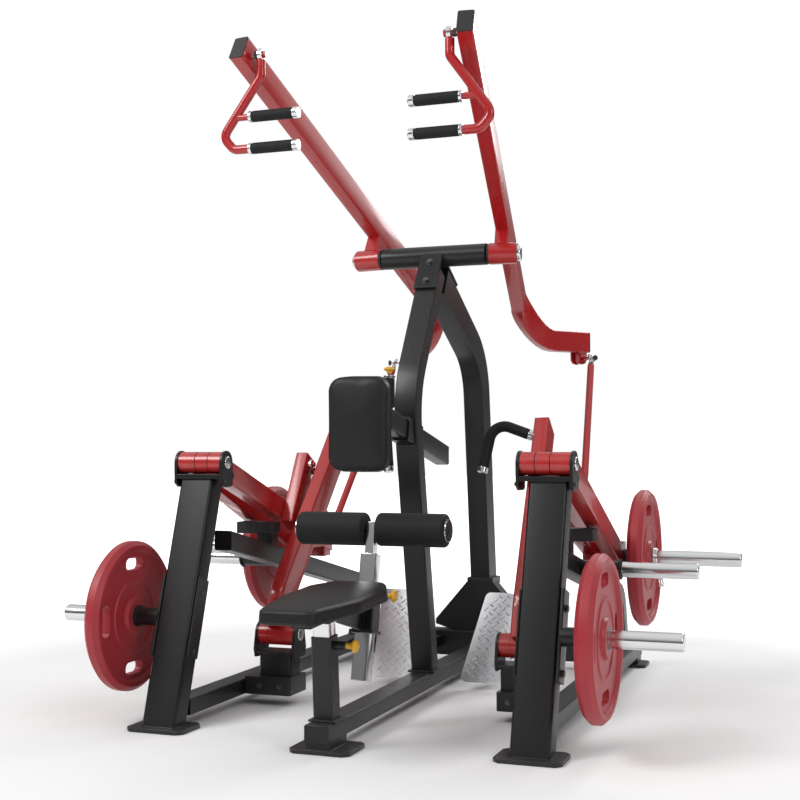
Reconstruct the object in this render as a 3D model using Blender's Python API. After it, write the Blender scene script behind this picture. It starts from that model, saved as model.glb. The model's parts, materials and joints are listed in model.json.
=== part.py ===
"""Plate-loaded lat pulldown and row machine, built as separate pieces on their joint axes.

Metres, +Z up, user facing +Y. The pieces are drawn in a working frame whose y = 0 is the front
of the base beam, and the root empty carries them so that the origin is under the middle of the
machine. Paired pieces are drawn on the right (+X) and mirrored for the left.
"""
import math

import bmesh
import bpy
from mathutils import Matrix, Vector

# ---- driving dimensions ------------------------------------------------------------------
ORIGIN_Y = 0.7871          # working-frame y that becomes the origin
GAP = 0.0004               # space left between pieces that touch
SIDE_FOOT_Z = 0.080 + GAP  # underside of what stands on a side tube
FLOOR_PLATE = 0.012        # thickness of the plates the frame stands on
BASE_Z0, BASE_Z1 = 0.032, 0.080      # bottom and top of the centre beam
SIDE_X0, SIDE_X1 = 0.500, 0.570      # inner and outer faces of a side beam
CROSS_Y0, CROSS_Y1 = 1.530, 1.600    # front and rear faces of the rear cross tube
CROSS_Z0, CROSS_Z1 = 0.030, 0.125
COLUMN_W, COLUMN_D = 0.075, 0.060    # front column section
REAR_POST_D = 0.100
BAR_Y, BAR_Z, BAR_R = 1.009, 1.475, 0.036   # top bar centre and radius
BAR_HALF = 0.186                     # half length of the straight bar
CANT = math.radians(8.35)            # how far each arm's axle turns back from the bar
ARM_W, ARM_D = 0.048, 0.078          # lat arm section
AXLE_R = 0.0125                      # pivot axles
BORE_R = 0.0130                      # bores that run on them
PIVOT_Y, PIVOT_Z = 0.370, 0.775      # weight arm pivot
HUB_X0, HUB_X1, HUB_R = 0.4725, 0.6160, 0.0325
ROW_Y, ROW_Z = 0.620, 0.222          # row lever pivot
POST_X0, POST_X1, POST_D = 0.4985, 0.6085, 0.0788
POST_FOOT_Y, POST_TOP_Y, POST_TOP_Z = 0.1534, 0.3850, 0.7380
HORN_R = 0.0245                      # plate horns, for 50 mm bores
PLATE_R, PLATE_T, PLATE_BORE = 0.225, 0.050, 0.0262
LOAD_Y, LOAD_Z = 1.165, 0.452        # loading horn on the weight arm
STORE_Y, STORE_Z = 0.236, 0.313      # storage horn on the front post
MID_Y, MID_Z = 0.870, 0.4376         # storage horn on the brace
PAD_TILT = math.radians(2.6)         # seat pad rises to the rear
SEAT_LEAN = math.radians(-4.45)      # seat post leans forward
THIGH_LEAN = math.radians(12.4)      # thigh post leans rearward
CHEST_SLOPE = math.radians(-11.7)    # chest tube falls to the rear
AXLE_Y, AXLE_Z = 0.418, 0.5775       # thigh roller axle
GRIP_R = 0.0170

ARM_FRONT = Vector((0.353, 0.229, 2.012))    # lat arm centre line, right side
ARM_KNEE = Vector((0.167, 1.491, 1.366))
TAIL_START = Vector((0.262, 1.632, 1.2235))
TAIL_END = Vector((0.362, 1.765, 1.2235))
LINK_TOP = Vector((0.399, 1.691, 1.159))     # upper link eye
LINK_FOOT = Vector((0.463, 1.196, 0.520))    # lower link eye
HANDLE_PIVOT = Vector((0.296, 0.262, 1.995))
ROW_LINK_TOP = Vector((0.4165, 0.905, 0.762))
ROW_LINK_FOOT = Vector((0.4165, 1.100, 0.500))

X, Y, Z = Vector((1, 0, 0)), Vector((0, 1, 0)), Vector((0, 0, 1))
SLEEVE_AXIS = Vector((math.cos(CANT), math.sin(CANT), 0))
SLEEVE_START = Vector((BAR_HALF, BAR_Y, BAR_Z))
SLEEVE_MID = SLEEVE_START + SLEEVE_AXIS * 0.050

MATERIALS = {
    "black_frame": ((0.020, 0.021, 0.023), 0.42, 0.0),
    "red_paint": ((0.42, 0.012, 0.014), 0.30, 0.0),
    "chrome": ((0.80, 0.81, 0.82), 0.12, 1.0),
    "red_plate": ((0.40, 0.030, 0.038), 0.45, 0.0),
    "black_vinyl": ((0.022, 0.022, 0.024), 0.55, 0.0),
    "black_foam": ((0.016, 0.016, 0.017), 0.70, 0.0),
    "black_rubber": ((0.014, 0.014, 0.015), 0.65, 0.0),
    "yellow_plastic": ((0.80, 0.47, 0.03), 0.35, 0.0),
    "diamond_plate": ((0.62, 0.63, 0.65), 0.35, 1.0),
}

bodies = {}


# ---- making meshes -----------------------------------------------------------------------
def clear_scene():
    for item in list(bpy.data.objects):
        bpy.data.objects.remove(item, do_unlink=True)


def make_materials():
    for name, (colour, roughness, metallic) in MATERIALS.items():
        material = bpy.data.materials.new(name)
        material.use_nodes = True
        shader = material.node_tree.nodes["Principled BSDF"]
        shader.inputs["Base Color"].default_value = (*colour, 1)
        shader.inputs["Roughness"].default_value = roughness
        shader.inputs["Metallic"].default_value = metallic


def rounded_rect(width, depth, corner=0.004, steps=1):
    """Section outline, anticlockwise, with arcs at its corners."""
    points = []
    for sx, sy, start in ((1, 1, 0), (-1, 1, 90), (-1, -1, 180), (1, -1, 270)):
        for k in range(steps + 1):
            angle = math.radians(start + 90 * k / steps)
            points.append((sx * (width / 2 - corner) + corner * math.cos(angle),
                           sy * (depth / 2 - corner) + corner * math.sin(angle)))
    return points


def circle(radius, count=16):
    return [(radius * math.cos(math.tau * k / count), radius * math.sin(math.tau * k / count))
            for k in range(count)]


def fillet(points, radius, steps=5):
    """The polyline with each inner corner replaced by an arc of the radius."""
    points = [Vector(p) for p in points]
    path = [points[0]]
    for before, corner, after in zip(points, points[1:], points[2:]):
        a, b = (before - corner).normalized(), (after - corner).normalized()
        half = a.angle(b) / 2
        reach = radius / math.tan(half)
        centre = corner + (a + b).normalized() * (radius / math.sin(half))
        start, end = corner + a * reach - centre, corner + b * reach - centre
        turn, axis = start.angle(end), start.cross(end).normalized()
        for k in range(steps + 1):
            path.append(centre + Matrix.Rotation(turn * k / steps, 3, axis) @ start)
    path.append(points[-1])
    return path


def hermite(p0, d0, p1, d1, steps):
    """Smooth curve from p0 to p1 that leaves along d0 and arrives along d1."""
    for k in range(1, steps):
        t = k / steps
        yield (p0 * (2 * t ** 3 - 3 * t ** 2 + 1) + d0 * (t ** 3 - 2 * t ** 2 + t)
               + p1 * (3 * t ** 2 - 2 * t ** 3) + d1 * (t ** 3 - t ** 2))


def sweep(path, outline, side=None, start=None, end=None):
    """Extrude an outline along a path; side keeps its first axis level, start and end are cuts."""
    path = [Vector(p) for p in path]
    lines = [(b - a).normalized() for a, b in zip(path, path[1:])]
    bm = bmesh.new()
    previous = None
    for k, point in enumerate(path):
        line = lines[min(k, len(lines) - 1)]
        normal = (lines[k - 1] + lines[k]).normalized() if 0 < k < len(lines) else line
        normal = start if k == 0 and start else end if k == len(path) - 1 and end else normal
        level = side.copy() if side else line.cross(Z)
        level = (level - line * level.dot(line)).normalized()
        up = level.cross(line)
        ring = []
        for a, b in outline:
            spot = level * a + up * b
            ring.append(point + spot - line * (spot.dot(normal) / line.dot(normal)))
        if previous is None:
            face = bm.faces.new([bm.verts.new(p) for p in ring])
            rim = list(face.verts)
        else:
            grown = bmesh.ops.extrude_face_region(bm, geom=[face])
            new_face = [g for g in grown["geom"] if isinstance(g, bmesh.types.BMFace)][0]
            order = {tuple(v.co): v for v in new_face.verts}
            rim = [order[tuple(p)] for p in previous]
            if k > 1:
                bm.faces.remove(face)
            face = new_face
            for vertex, spot in zip(rim, ring):
                vertex.co = spot
        previous = [v.co.copy() for v in rim]
    bmesh.ops.recalc_face_normals(bm, faces=bm.faces)
    return bm


def beam(p0, p1, width, depth, side=X, corner=0.004, start=None, end=None):
    return sweep([p0, p1], rounded_rect(width, depth, corner), side, start, end)


def rod(p0, p1, radius, count=14):
    return sweep([p0, p1], circle(radius, count), Vector(p1 - p0).orthogonal())


def box(low, high, corner=0.0):
    """Axis-aligned block; corner rounds its four upright edges."""
    low, high = Vector(low), Vector(high)
    middle, size = (low + high) / 2, high - low
    if corner:
        return beam((middle.x, middle.y, low.z), (middle.x, middle.y, high.z),
                    size.x, size.y, X, corner)
    bm = bmesh.new()
    bmesh.ops.create_cube(bm, size=1, matrix=Matrix.Translation(middle) @ Matrix.Diagonal((*size, 1)))
    return bm


def turned(profile, start, axis, count=20):
    """Spin (distance along axis, radius) points about the axis; the profile closes on itself."""
    axis = Vector(axis).normalized()
    across = axis.orthogonal().normalized()
    bm = bmesh.new()
    verts = [bm.verts.new(Vector(start) + axis * along + across * radius)
             for along, radius in profile]
    closed = profile[0][1] > 0 and profile[-1][1] > 0
    pairs = list(zip(verts, verts[1:])) + ([(verts[-1], verts[0])] if closed else [])
    edges = [bm.edges.new(pair) for pair in pairs]
    bmesh.ops.spin(bm, geom=verts + edges, cent=start, axis=axis, angle=math.tau, steps=count,
                   use_merge=True)
    bmesh.ops.remove_doubles(bm, verts=bm.verts, dist=2e-5)
    bmesh.ops.recalc_face_normals(bm, faces=bm.faces)
    return bm


def ring(x0, x1, outer, inner, at, axis=X, count=20):
    """Hollow cylinder along axis from x0 to x1, measured from the point at."""
    return turned([(x0, inner), (x0, outer), (x1, outer), (x1, inner)], at, axis, count)


def prism(outline, thickness, matrix):
    """Extrude a flat outline by thickness along its own z, then place it."""
    bm = bmesh.new()
    face = bm.faces.new([bm.verts.new((a, b, 0)) for a, b in outline])
    grown = bmesh.ops.extrude_face_region(bm, geom=[face])
    moved = [g for g in grown["geom"] if isinstance(g, bmesh.types.BMVert)]
    bmesh.ops.translate(bm, verts=moved, vec=(0, 0, thickness))
    bmesh.ops.recalc_face_normals(bm, faces=bm.faces)
    bmesh.ops.transform(bm, matrix=matrix, verts=bm.verts)
    return bm


def upright_plate(outline, x0, x1):
    """Plate square to X with its outline given in y and z."""
    frame = Matrix(((0, 0, 1, x0), (1, 0, 0, 0), (0, 1, 0, 0), (0, 0, 0, 1)))
    return prism(outline, x1 - x0, frame)


def temporary(bm, name="work"):
    mesh = bpy.data.meshes.new(name)
    bm.to_mesh(mesh)
    bm.free()
    item = bpy.data.objects.new(name, mesh)
    bpy.context.scene.collection.objects.link(item)
    return item


def combine(base, others, operation="UNION"):
    """Boolean the other meshes onto the base one and return the result."""
    item = temporary(base)
    tools = [temporary(bm) for bm in others]
    for tool in tools:
        step = item.modifiers.new("join", "BOOLEAN")
        step.operation, step.solver, step.object = operation, "EXACT", tool
    evaluated = item.evaluated_get(bpy.context.evaluated_depsgraph_get())
    mesh = bpy.data.meshes.new_from_object(evaluated)
    result = bmesh.new()
    result.from_mesh(mesh)
    for tool in [item, *tools]:
        bpy.data.objects.remove(tool, do_unlink=True)
    return result


def weld(*pieces):
    return combine(pieces[0], pieces[1:])


def cut(base, *cutters):
    return combine(base, cutters, "DIFFERENCE")


def mirrored(bm):
    """The same shape on the other side of the centre plane."""
    other = bm.copy()
    bmesh.ops.scale(other, vec=(-1, 1, 1), verts=other.verts)
    bmesh.ops.reverse_faces(other, faces=other.faces)
    return other


# ---- placing pieces ----------------------------------------------------------------------
def add_body(name, pivot, parent=None):
    """Empty on a joint's axis; pieces and further bodies hang from it."""
    item = bpy.data.objects.new(name + "_axis", None)
    bpy.context.scene.collection.objects.link(item)
    here = Vector(pivot)
    if parent:
        item.parent = bodies[parent][0]
        item.location = here - bodies[parent][1]
    else:
        item.location = here - Vector((0, ORIGIN_Y, 0))
    bodies[name] = (item, here)


def add_piece(name, bm, material, body="frame"):
    parent, pivot = bodies[body]
    bmesh.ops.translate(bm, verts=bm.verts, vec=-pivot)
    bmesh.ops.triangulate(bm, faces=bm.faces)
    mesh = bpy.data.meshes.new(name)
    bm.to_mesh(mesh)
    bm.free()
    mesh.shade_smooth()
    mesh.set_sharp_from_angle(angle=math.radians(35))
    mesh.materials.append(bpy.data.materials[material])
    item = bpy.data.objects.new(name, mesh)
    item.parent = parent
    bpy.context.scene.collection.objects.link(item)


def add_pair(name, bm, material, body="frame"):
    """The piece on the right and its mirror image on the left."""
    side_body = body if body == "frame" else "{}_" + body
    add_piece("left_" + name, mirrored(bm), material, side_body.format("left"))
    add_piece("right_" + name, bm, material, side_body.format("right"))


def add_body_pair(name, pivot, parent="frame"):
    pivot = Vector(pivot)
    for side, sign in (("left", -1), ("right", 1)):
        upper = parent if parent == "frame" else side + "_" + parent
        add_body(side + "_" + name, (sign * pivot.x, pivot.y, pivot.z), upper)


# ---- the fixed frame ---------------------------------------------------------------------
def floor_plate(x0, x1, y0, y1):
    cut_corner = 0.016
    outline = [(x0 + cut_corner, y0), (x1 - cut_corner, y0), (x1, y0 + cut_corner),
               (x1, y1 - cut_corner), (x1 - cut_corner, y1), (x0 + cut_corner, y1),
               (x0, y1 - cut_corner), (x0, y0 + cut_corner)]
    return prism(outline, FLOOR_PLATE, Matrix.Identity(4))


def make_base():
    level = (BASE_Z0 + BASE_Z1) / 2
    centre = beam((0, 0, level), (0, CROSS_Y0 - GAP, level), 0.072, BASE_Z1 - BASE_Z0)
    spacer = box((-0.036, 0.012, FLOOR_PLATE - 0.004), (0.036, 0.125, BASE_Z0 + 0.004))
    add_piece("base_beam", weld(centre, spacer, floor_plate(-0.088, 0.088, 0.004, 0.146)),
              "black_frame")

    middle = ((CROSS_Y0 + CROSS_Y1) / 2, (CROSS_Z0 + CROSS_Z1) / 2)
    reach = SIDE_X0 - GAP
    cross = beam((-reach, *middle), (reach, *middle), CROSS_Y1 - CROSS_Y0, CROSS_Z1 - CROSS_Z0, Y)
    add_piece("rear_cross_tube", cross, "black_frame")

    mid_x = (SIDE_X0 + SIDE_X1) / 2
    tube = beam((mid_x, 0.2150, 0.055), (mid_x, 1.760, 0.055), SIDE_X1 - SIDE_X0, 0.050)
    foot = floor_plate(0.470, 0.600, 1.650, 1.770)
    block = box((SIDE_X0, 1.672, FLOOR_PLATE - 0.004), (SIDE_X1, 1.745, 0.036))
    add_pair("base_tube", weld(tube, block, foot), "black_frame")


def make_posts():
    """Leaning front posts with their foot plates and the fork that holds the weight arm."""
    mid_x = (POST_X0 + POST_X1) / 2
    lean = (POST_TOP_Y - POST_FOOT_Y) / (POST_TOP_Z - FLOOR_PLATE)
    foot_z = FLOOR_PLATE - 0.004
    post = sweep([(mid_x, POST_FOOT_Y - 0.004 * lean, foot_z), (mid_x, POST_TOP_Y, POST_TOP_Z)],
                 rounded_rect(POST_X1 - POST_X0, 0.075, 0.008), X, Z, Z)
    plate = box((0.4630, PIVOT_Y - 0.036, POST_TOP_Z - 0.012), (0.6255, PIVOT_Y + 0.050, POST_TOP_Z + 0.002))
    outline = [(PIVOT_Y + 0.037 * math.cos(a), PIVOT_Z + 0.037 * math.sin(a))
               for a in (math.radians(180 * k / 10) for k in range(11))]
    outline += [(PIVOT_Y - 0.037, 0.712), (PIVOT_Y - 0.020, 0.700), (PIVOT_Y + 0.030, 0.700),
                (PIVOT_Y + 0.037, 0.708)]
    ears = [upright_plate(outline, 0.4622, 0.4715), upright_plate(outline, 0.6170, 0.6263)]
    whole = weld(floor_plate(0.460, 0.645, 0.085, 0.216), post, plate, *ears)
    bore = rod(Vector((0.45, PIVOT_Y, PIVOT_Z)), Vector((0.64, PIVOT_Y, PIVOT_Z)), BORE_R)
    add_pair("post", cut(whole, bore), "black_frame")
    add_pair("arm_axle", axle(0.4600, 0.6285, PIVOT_Y, PIVOT_Z), "chrome")


def make_stands():
    """Low stands beside the seat that carry the row levers."""
    block = box((0.338, 0.560, 0.034), (SIDE_X0 - GAP, 0.690, 0.090), 0.006)
    tube = box((0.3450, 0.583, 0.086), (0.4570, 0.657, 0.168), 0.006)
    shelf = box((0.3300, 0.578, 0.160), (0.4720, 0.662, 0.169))
    outline = [(ROW_Y + 0.038 * math.cos(a), ROW_Z + 0.038 * math.sin(a))
               for a in (math.radians(180 * k / 10) for k in range(11))]
    outline += [(ROW_Y - 0.048, 0.176), (ROW_Y - 0.040, 0.150), (ROW_Y + 0.040, 0.150),
                (ROW_Y + 0.048, 0.176)]
    ears = [upright_plate(outline, 0.3300, 0.3393), upright_plate(outline, 0.4627, 0.4720)]
    pin = axle(0.3278, 0.4742, ROW_Y, ROW_Z)
    add_pair("row_stand", weld(block, tube, shelf, *ears, pin), "black_frame")


def chest_point(y, offset=0.0):
    """Point on the chest tube's centre line, moved square to it by offset."""
    z = 0.793 + math.tan(-CHEST_SLOPE) * (1.077 - y)
    return Vector((0, y + offset * math.sin(-CHEST_SLOPE), z + offset * math.cos(CHEST_SLOPE)))


def make_column():
    path = fillet([(0, 0.8935, 0.0820), (0, 0.7140, 0.9870), (0, 0.9794, 1.4140)], 0.30, 6)
    tube = sweep(path, rounded_rect(COLUMN_W, COLUMN_D), X, Z)
    base = box((-0.046, 0.850, BASE_Z1 + GAP), (0.046, 0.940, BASE_Z1 + 0.007))
    sleeve = beam(chest_point(0.655), chest_point(0.785), 0.0620, 0.0760, X, 0.004)
    hole = beam(chest_point(0.550), chest_point(0.900), 0.0510, 0.0650, X, 0.003)
    add_piece("column", cut(weld(tube, base, sleeve), hole), "black_frame")


def make_rear_post():
    path = fillet([(0, 1.0207, 1.3908), (0, 1.4840, 1.1440), (0, 1.5840, 0.3200)], 0.24, 8)
    tube = sweep(path, rounded_rect(COLUMN_W, REAR_POST_D), X, None, Z)
    flange = box((-0.050, 1.532, 0.300), (0.050, 1.640, 0.326))
    outline = [(-0.105, CROSS_Z1 + GAP), (0.105, CROSS_Z1 + GAP), (0.176, CROSS_Z1 + 0.022),
               (0.176, CROSS_Z1 + 0.040), (0.052, 0.310), (-0.052, 0.310),
               (-0.176, CROSS_Z1 + 0.040), (-0.176, CROSS_Z1 + 0.022)]
    upright = Matrix(((1, 0, 0, 0), (0, 0, -1, 1.598), (0, 1, 0, 0), (0, 0, 0, 1)))
    foot = prism(outline, 0.066, upright)
    add_piece("rear_post", weld(tube, flange, foot), "black_frame")


def hex_bolt(at, axis, radius=0.0095, height=0.007):
    axis = Vector(axis).normalized()
    return sweep([Vector(at), Vector(at) + axis * height], circle(radius, 6), axis.orthogonal())


def make_top_bar():
    centre = Vector((0, BAR_Y, BAR_Z))
    bar = turned([(-BAR_HALF, 0), (-BAR_HALF, BAR_R), (BAR_HALF, BAR_R), (BAR_HALF, 0)], centre, X)
    stubs = []
    for sign in (1, -1):
        axis = Vector((sign * SLEEVE_AXIS.x, SLEEVE_AXIS.y, 0))
        start = Vector((sign * BAR_HALF, BAR_Y, BAR_Z)) - axis * 0.020
        stubs.append(turned([(0, 0), (0, 0.0150), (0.1234, 0.0150), (0.1234, 0.0270),
                             (0.1310, 0.0270), (0.1350, 0.0220), (0.1350, 0)], start, axis))
    up = Vector((0, 0.528, 0.849))
    out = Vector((0, -0.849, 0.528))
    low = Vector((0, 0.9620, 1.3860)) + out * (COLUMN_D / 2 + GAP + 0.005) - up * 0.060
    front = beam(low, low + up * 0.150, 0.080, 0.010, X, 0.002)
    down = Vector((0, 0.8826, -0.4701))
    over = Vector((0, 0.4701, 0.8826))
    high = Vector((0, 1.0560, 1.3720)) + over * (REAR_POST_D / 2 + GAP + 0.005) - down * 0.085
    rear = beam(high, high + down * 0.150, 0.080, 0.010, X, 0.002)
    bolts = [hex_bolt(low + up * along + out * 0.004, out) for along in (0.030, 0.110)]
    add_piece("top_bar", weld(bar, *stubs, front, rear, *bolts), "black_frame")


def brace_z(y):
    """Height of the brace's centre line."""
    return 0.537 - 0.2115 * (y - 0.40)


def make_braces():
    x = 0.505
    path = fillet([(x, 0.4250, brace_z(0.425)), (x, 1.600, brace_z(1.600)), (x, 1.650, 0.082)],
                  0.11, 5)
    tube = sweep(path, rounded_rect(0.060, 0.060), X, Y, Z)
    stop = box((0.478, 0.716, 0.470), (0.532, 0.764, 0.5335))
    foot = box((0.468, 1.600, SIDE_FOOT_Z), (0.566, 1.700, SIDE_FOOT_Z + 0.006))
    store = horn(0.5200, 0.900, MID_Y, MID_Z, 0.0235, 0.6610, 0.007)
    add_pair("brace", weld(tube, stop, foot, store), "black_frame")
    bumper = box((0.470, 0.708, 0.5340), (0.606, 0.772, 0.5725), 0.006)
    add_pair("stop_bumper", bumper, "black_rubber")


def horn(x_root, x_tip, y, z, sleeve_r, x_sleeve, flange):
    """Horn with its black root, a flange and a domed chrome tip, as one turned profile."""
    profile = [(x_root, 0), (x_root, sleeve_r), (x_sleeve - flange, sleeve_r),
               (x_sleeve - flange, sleeve_r + 0.006), (x_sleeve, sleeve_r + 0.006),
               (x_sleeve, HORN_R)]
    dome = 0.014
    for k in range(5):
        angle = math.radians(90 * k / 4)
        profile.append((x_tip - dome + dome * math.sin(angle),
                        HORN_R * (math.cos(angle) if k < 4 else 0)))
    return turned(profile, Vector((0, y, z)), X)


def make_storage():
    lean = Vector((0, POST_TOP_Y - POST_FOOT_Y, POST_TOP_Z - FLOOR_PLATE)).normalized()
    middle = Vector((POST_X1 + GAP + 0.005, 0.2496, STORE_Z))
    plate = beam(middle - lean * 0.125, middle + lean * 0.125, 0.010, 0.066, X, 0.002)
    front = horn(POST_X1 + 0.006, 0.941, STORE_Y, STORE_Z, 0.026, 0.6920, 0.006)
    bolts = [hex_bolt(middle + X * 0.004 + lean * along, X) for along in (-0.100, 0.075)]
    add_pair("storage_horn", weld(plate, front, *bolts), "chrome")


def make_footrests():
    """Tread plates that face the user, each on an arm from the rear cross tube."""
    low, high = Vector((0, 1.040, 0.024)), Vector((0, 1.150, 0.316))
    rise = (high - low).normalized()
    length = (high - low).length
    corners = [(0.073, 0), (0.245, 0), (0.245, length), (0.140, length)]
    outline = []
    loop = [Vector((a, b, 0)) for a, b in corners]
    for k in range(4):
        path = fillet([loop[k - 1], loop[k], loop[(k + 1) % 4]], 0.020, 3)
        outline += [(p.x, p.y) for p in path[1:-1]]
    normal = X.cross(rise)
    frame = Matrix(((1, rise.x, normal.x, low.x), (0, rise.y, normal.y, low.y),
                    (0, rise.z, normal.z, low.z), (0, 0, 0, 1)))
    plate = prism(outline, 0.005, frame)
    arm = beam((0.165, 1.066, 0.085), (0.165, CROSS_Y0 - GAP, 0.085), 0.040, 0.040, X, 0.004)
    add_pair("footrest", weld(plate, arm), "diamond_plate")


def axle(x0, x1, y, z):
    """Axle with a round cap at each end."""
    profile = [(x0 - 0.003, 0), (x0 - 0.003, 0.016), (x0, 0.018), (x0 + 0.0018, 0.018),
               (x0 + 0.0018, AXLE_R), (x1 - 0.0018, AXLE_R), (x1 - 0.0018, 0.018),
               (x1, 0.018), (x1 + 0.003, 0.016), (x1 + 0.003, 0)]
    return turned(profile, Vector((0, y, z)), X, 20)


# ---- seat, thigh rollers and chest pad ---------------------------------------------------
SEAT_UP = Vector((0, math.sin(SEAT_LEAN), math.cos(SEAT_LEAN)))
SEAT_FOOT = Vector((0, 0.0730, BASE_Z1 + GAP))
THIGH_UP = Vector((0, math.sin(THIGH_LEAN), math.cos(THIGH_LEAN)))
AXLE_AT = Vector((0, AXLE_Y, AXLE_Z))


def seat_top(y):
    """Height of the seat pad's upper face."""
    return 0.419 + math.tan(PAD_TILT) * (y + 0.196)


def make_seat():
    outer = beam(SEAT_FOOT, SEAT_FOOT + SEAT_UP * 0.232, 0.058, 0.058, X, 0.005, Z)
    shoe = box((-0.040, 0.036, BASE_Z1 + GAP), (0.040, 0.112, BASE_Z1 + 0.006))
    housing = ring(0.0270, 0.0580, 0.0120, 0.0056, SEAT_FOOT + SEAT_UP * 0.207, X, 16)
    hole = beam(SEAT_FOOT + SEAT_UP * 0.020, SEAT_FOOT + SEAT_UP * 0.260, 0.0500, 0.0500, X, 0.003)
    pin_hole = rod(SEAT_FOOT + SEAT_UP * 0.207 + X * 0.015,
                   SEAT_FOOT + SEAT_UP * 0.207 + X * 0.040, 0.0056, 16)
    add_piece("seat_post", cut(weld(outer, shoe, housing), hole, pin_hole), "black_frame")

    add_body("seat", SEAT_FOOT + SEAT_UP * 0.150, "frame")
    inner = beam(SEAT_FOOT + SEAT_UP * 0.045, SEAT_FOOT + SEAT_UP * 0.2700, 0.0490, 0.0490, X, 0.004,
                 None, None)
    add_piece("seat_tube", inner, "chrome", "seat")

    thickness = 0.052
    slope = Vector((0, math.cos(PAD_TILT), math.sin(PAD_TILT)))
    rail_start = Vector((0, -0.100, seat_top(-0.100) - thickness - GAP - 0.011))
    rail = beam(rail_start, rail_start + slope * 0.432, 0.060, 0.022, X, 0.003)
    neck = beam(SEAT_FOOT + SEAT_UP * 0.2704, SEAT_FOOT + SEAT_UP * 0.283, 0.056, 0.056, X, 0.003)
    gusset = upright_plate([(0.085, 0.3600), (0.150, 0.3330), (0.322, 0.2900), (0.327, 0.2900),
                            (0.342, 0.3750), (0.085, 0.3640)], -0.005, 0.005)
    sleeve_low = AXLE_AT - THIGH_UP * 0.300
    sleeve = beam(sleeve_low, AXLE_AT - THIGH_UP * 0.178, 0.064, 0.064, X, 0.005)
    collar = beam(sleeve_low - THIGH_UP * 0.008, sleeve_low + THIGH_UP * 0.002, 0.074, 0.074, X, 0.003)
    housing = ring(0.0310, 0.0520, 0.0120, 0.0056, AXLE_AT - THIGH_UP * 0.196, X, 16)
    post_hole = beam(AXLE_AT - THIGH_UP * 0.330, AXLE_AT - THIGH_UP * 0.160, 0.0510, 0.0510, X, 0.003)
    pin_hole = rod(AXLE_AT - THIGH_UP * 0.196 + X * 0.015,
                   AXLE_AT - THIGH_UP * 0.196 + X * 0.042, 0.0056, 16)
    bracket = cut(weld(rail, neck, gusset, sleeve, collar, housing), post_hole, pin_hole)
    add_piece("seat_bracket", bracket, "black_frame", "seat")

    right_edge = fillet([(0, -0.203, 0), (0.078, -0.203, 0), (0.126, 0.020, 0), (0.126, 0.220, 0),
                         (0.078, 0.333, 0), (0, 0.333, 0)], 0.022, 3)
    half = [(p.x, p.y) for p in right_edge[1:-1]]
    loop = half + [(-a, b) for a, b in reversed(half)]
    tilt = Matrix.Translation((0, 0, seat_top(0) - thickness)) @ Matrix.Rotation(PAD_TILT, 4, "X")
    add_piece("seat_pad", prism(loop, thickness, tilt), "black_vinyl", "seat")


def pull_pin(at, x_shaft, x_stop):
    """Plunger with a mushroom knob, drawn along +X from the point."""
    profile = [(x_shaft, 0), (x_shaft, 0.0050), (x_stop, 0.0050), (x_stop, 0.0105),
               (x_stop + 0.014, 0.0080), (x_stop + 0.020, 0.0090), (x_stop + 0.026, 0.0180),
               (x_stop + 0.032, 0.0185), (x_stop + 0.038, 0.0120), (x_stop + 0.040, 0)]
    return turned(profile, at, X, 20)


def make_thigh():
    add_body("thigh", AXLE_AT, "seat")
    tube = beam(AXLE_AT - THIGH_UP * 0.444, AXLE_AT - THIGH_UP * 0.075, 0.0490, 0.0490, X, 0.004)
    tongue = beam(AXLE_AT - THIGH_UP * 0.085, AXLE_AT + THIGH_UP * 0.020, 0.0290, 0.0360, X, 0.004)
    axle = rod(AXLE_AT - X * 0.240, AXLE_AT + X * 0.240, 0.0095)
    caps = [ring(a, a + 0.005, 0.0300, 0.0060, AXLE_AT) for a in (-0.2400, 0.2350)]
    add_piece("thigh_post", weld(tube, tongue, axle, *caps), "chrome", "thigh")
    for side, sign in (("left", -1), ("right", 1)):
        add_body(side + "_roller", AXLE_AT + X * sign * 0.125, "thigh")
    roller = turned([(0.0190, 0.0102), (0.0190, 0.0440), (0.0230, 0.0490), (0.0280, 0.0500),
                     (0.2240, 0.0500), (0.2300, 0.0480), (0.2340, 0.0420), (0.2340, 0.0102)],
                    AXLE_AT, X)
    add_piece("left_thigh_roller", mirrored(roller), "black_foam", "left_roller")
    add_piece("right_thigh_roller", roller, "black_foam", "right_roller")

    seat_at = SEAT_FOOT + SEAT_UP * 0.207
    add_body("seat_pin", seat_at, "frame")
    add_piece("seat_pull_pin", pull_pin(seat_at, 0.0290, 0.0590), "yellow_plastic", "seat_pin")
    thigh_at = AXLE_AT - THIGH_UP * 0.196
    add_body("thigh_pin", thigh_at, "seat")
    add_piece("thigh_pull_pin", pull_pin(thigh_at, 0.0290, 0.0530), "yellow_plastic", "thigh_pin")


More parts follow.
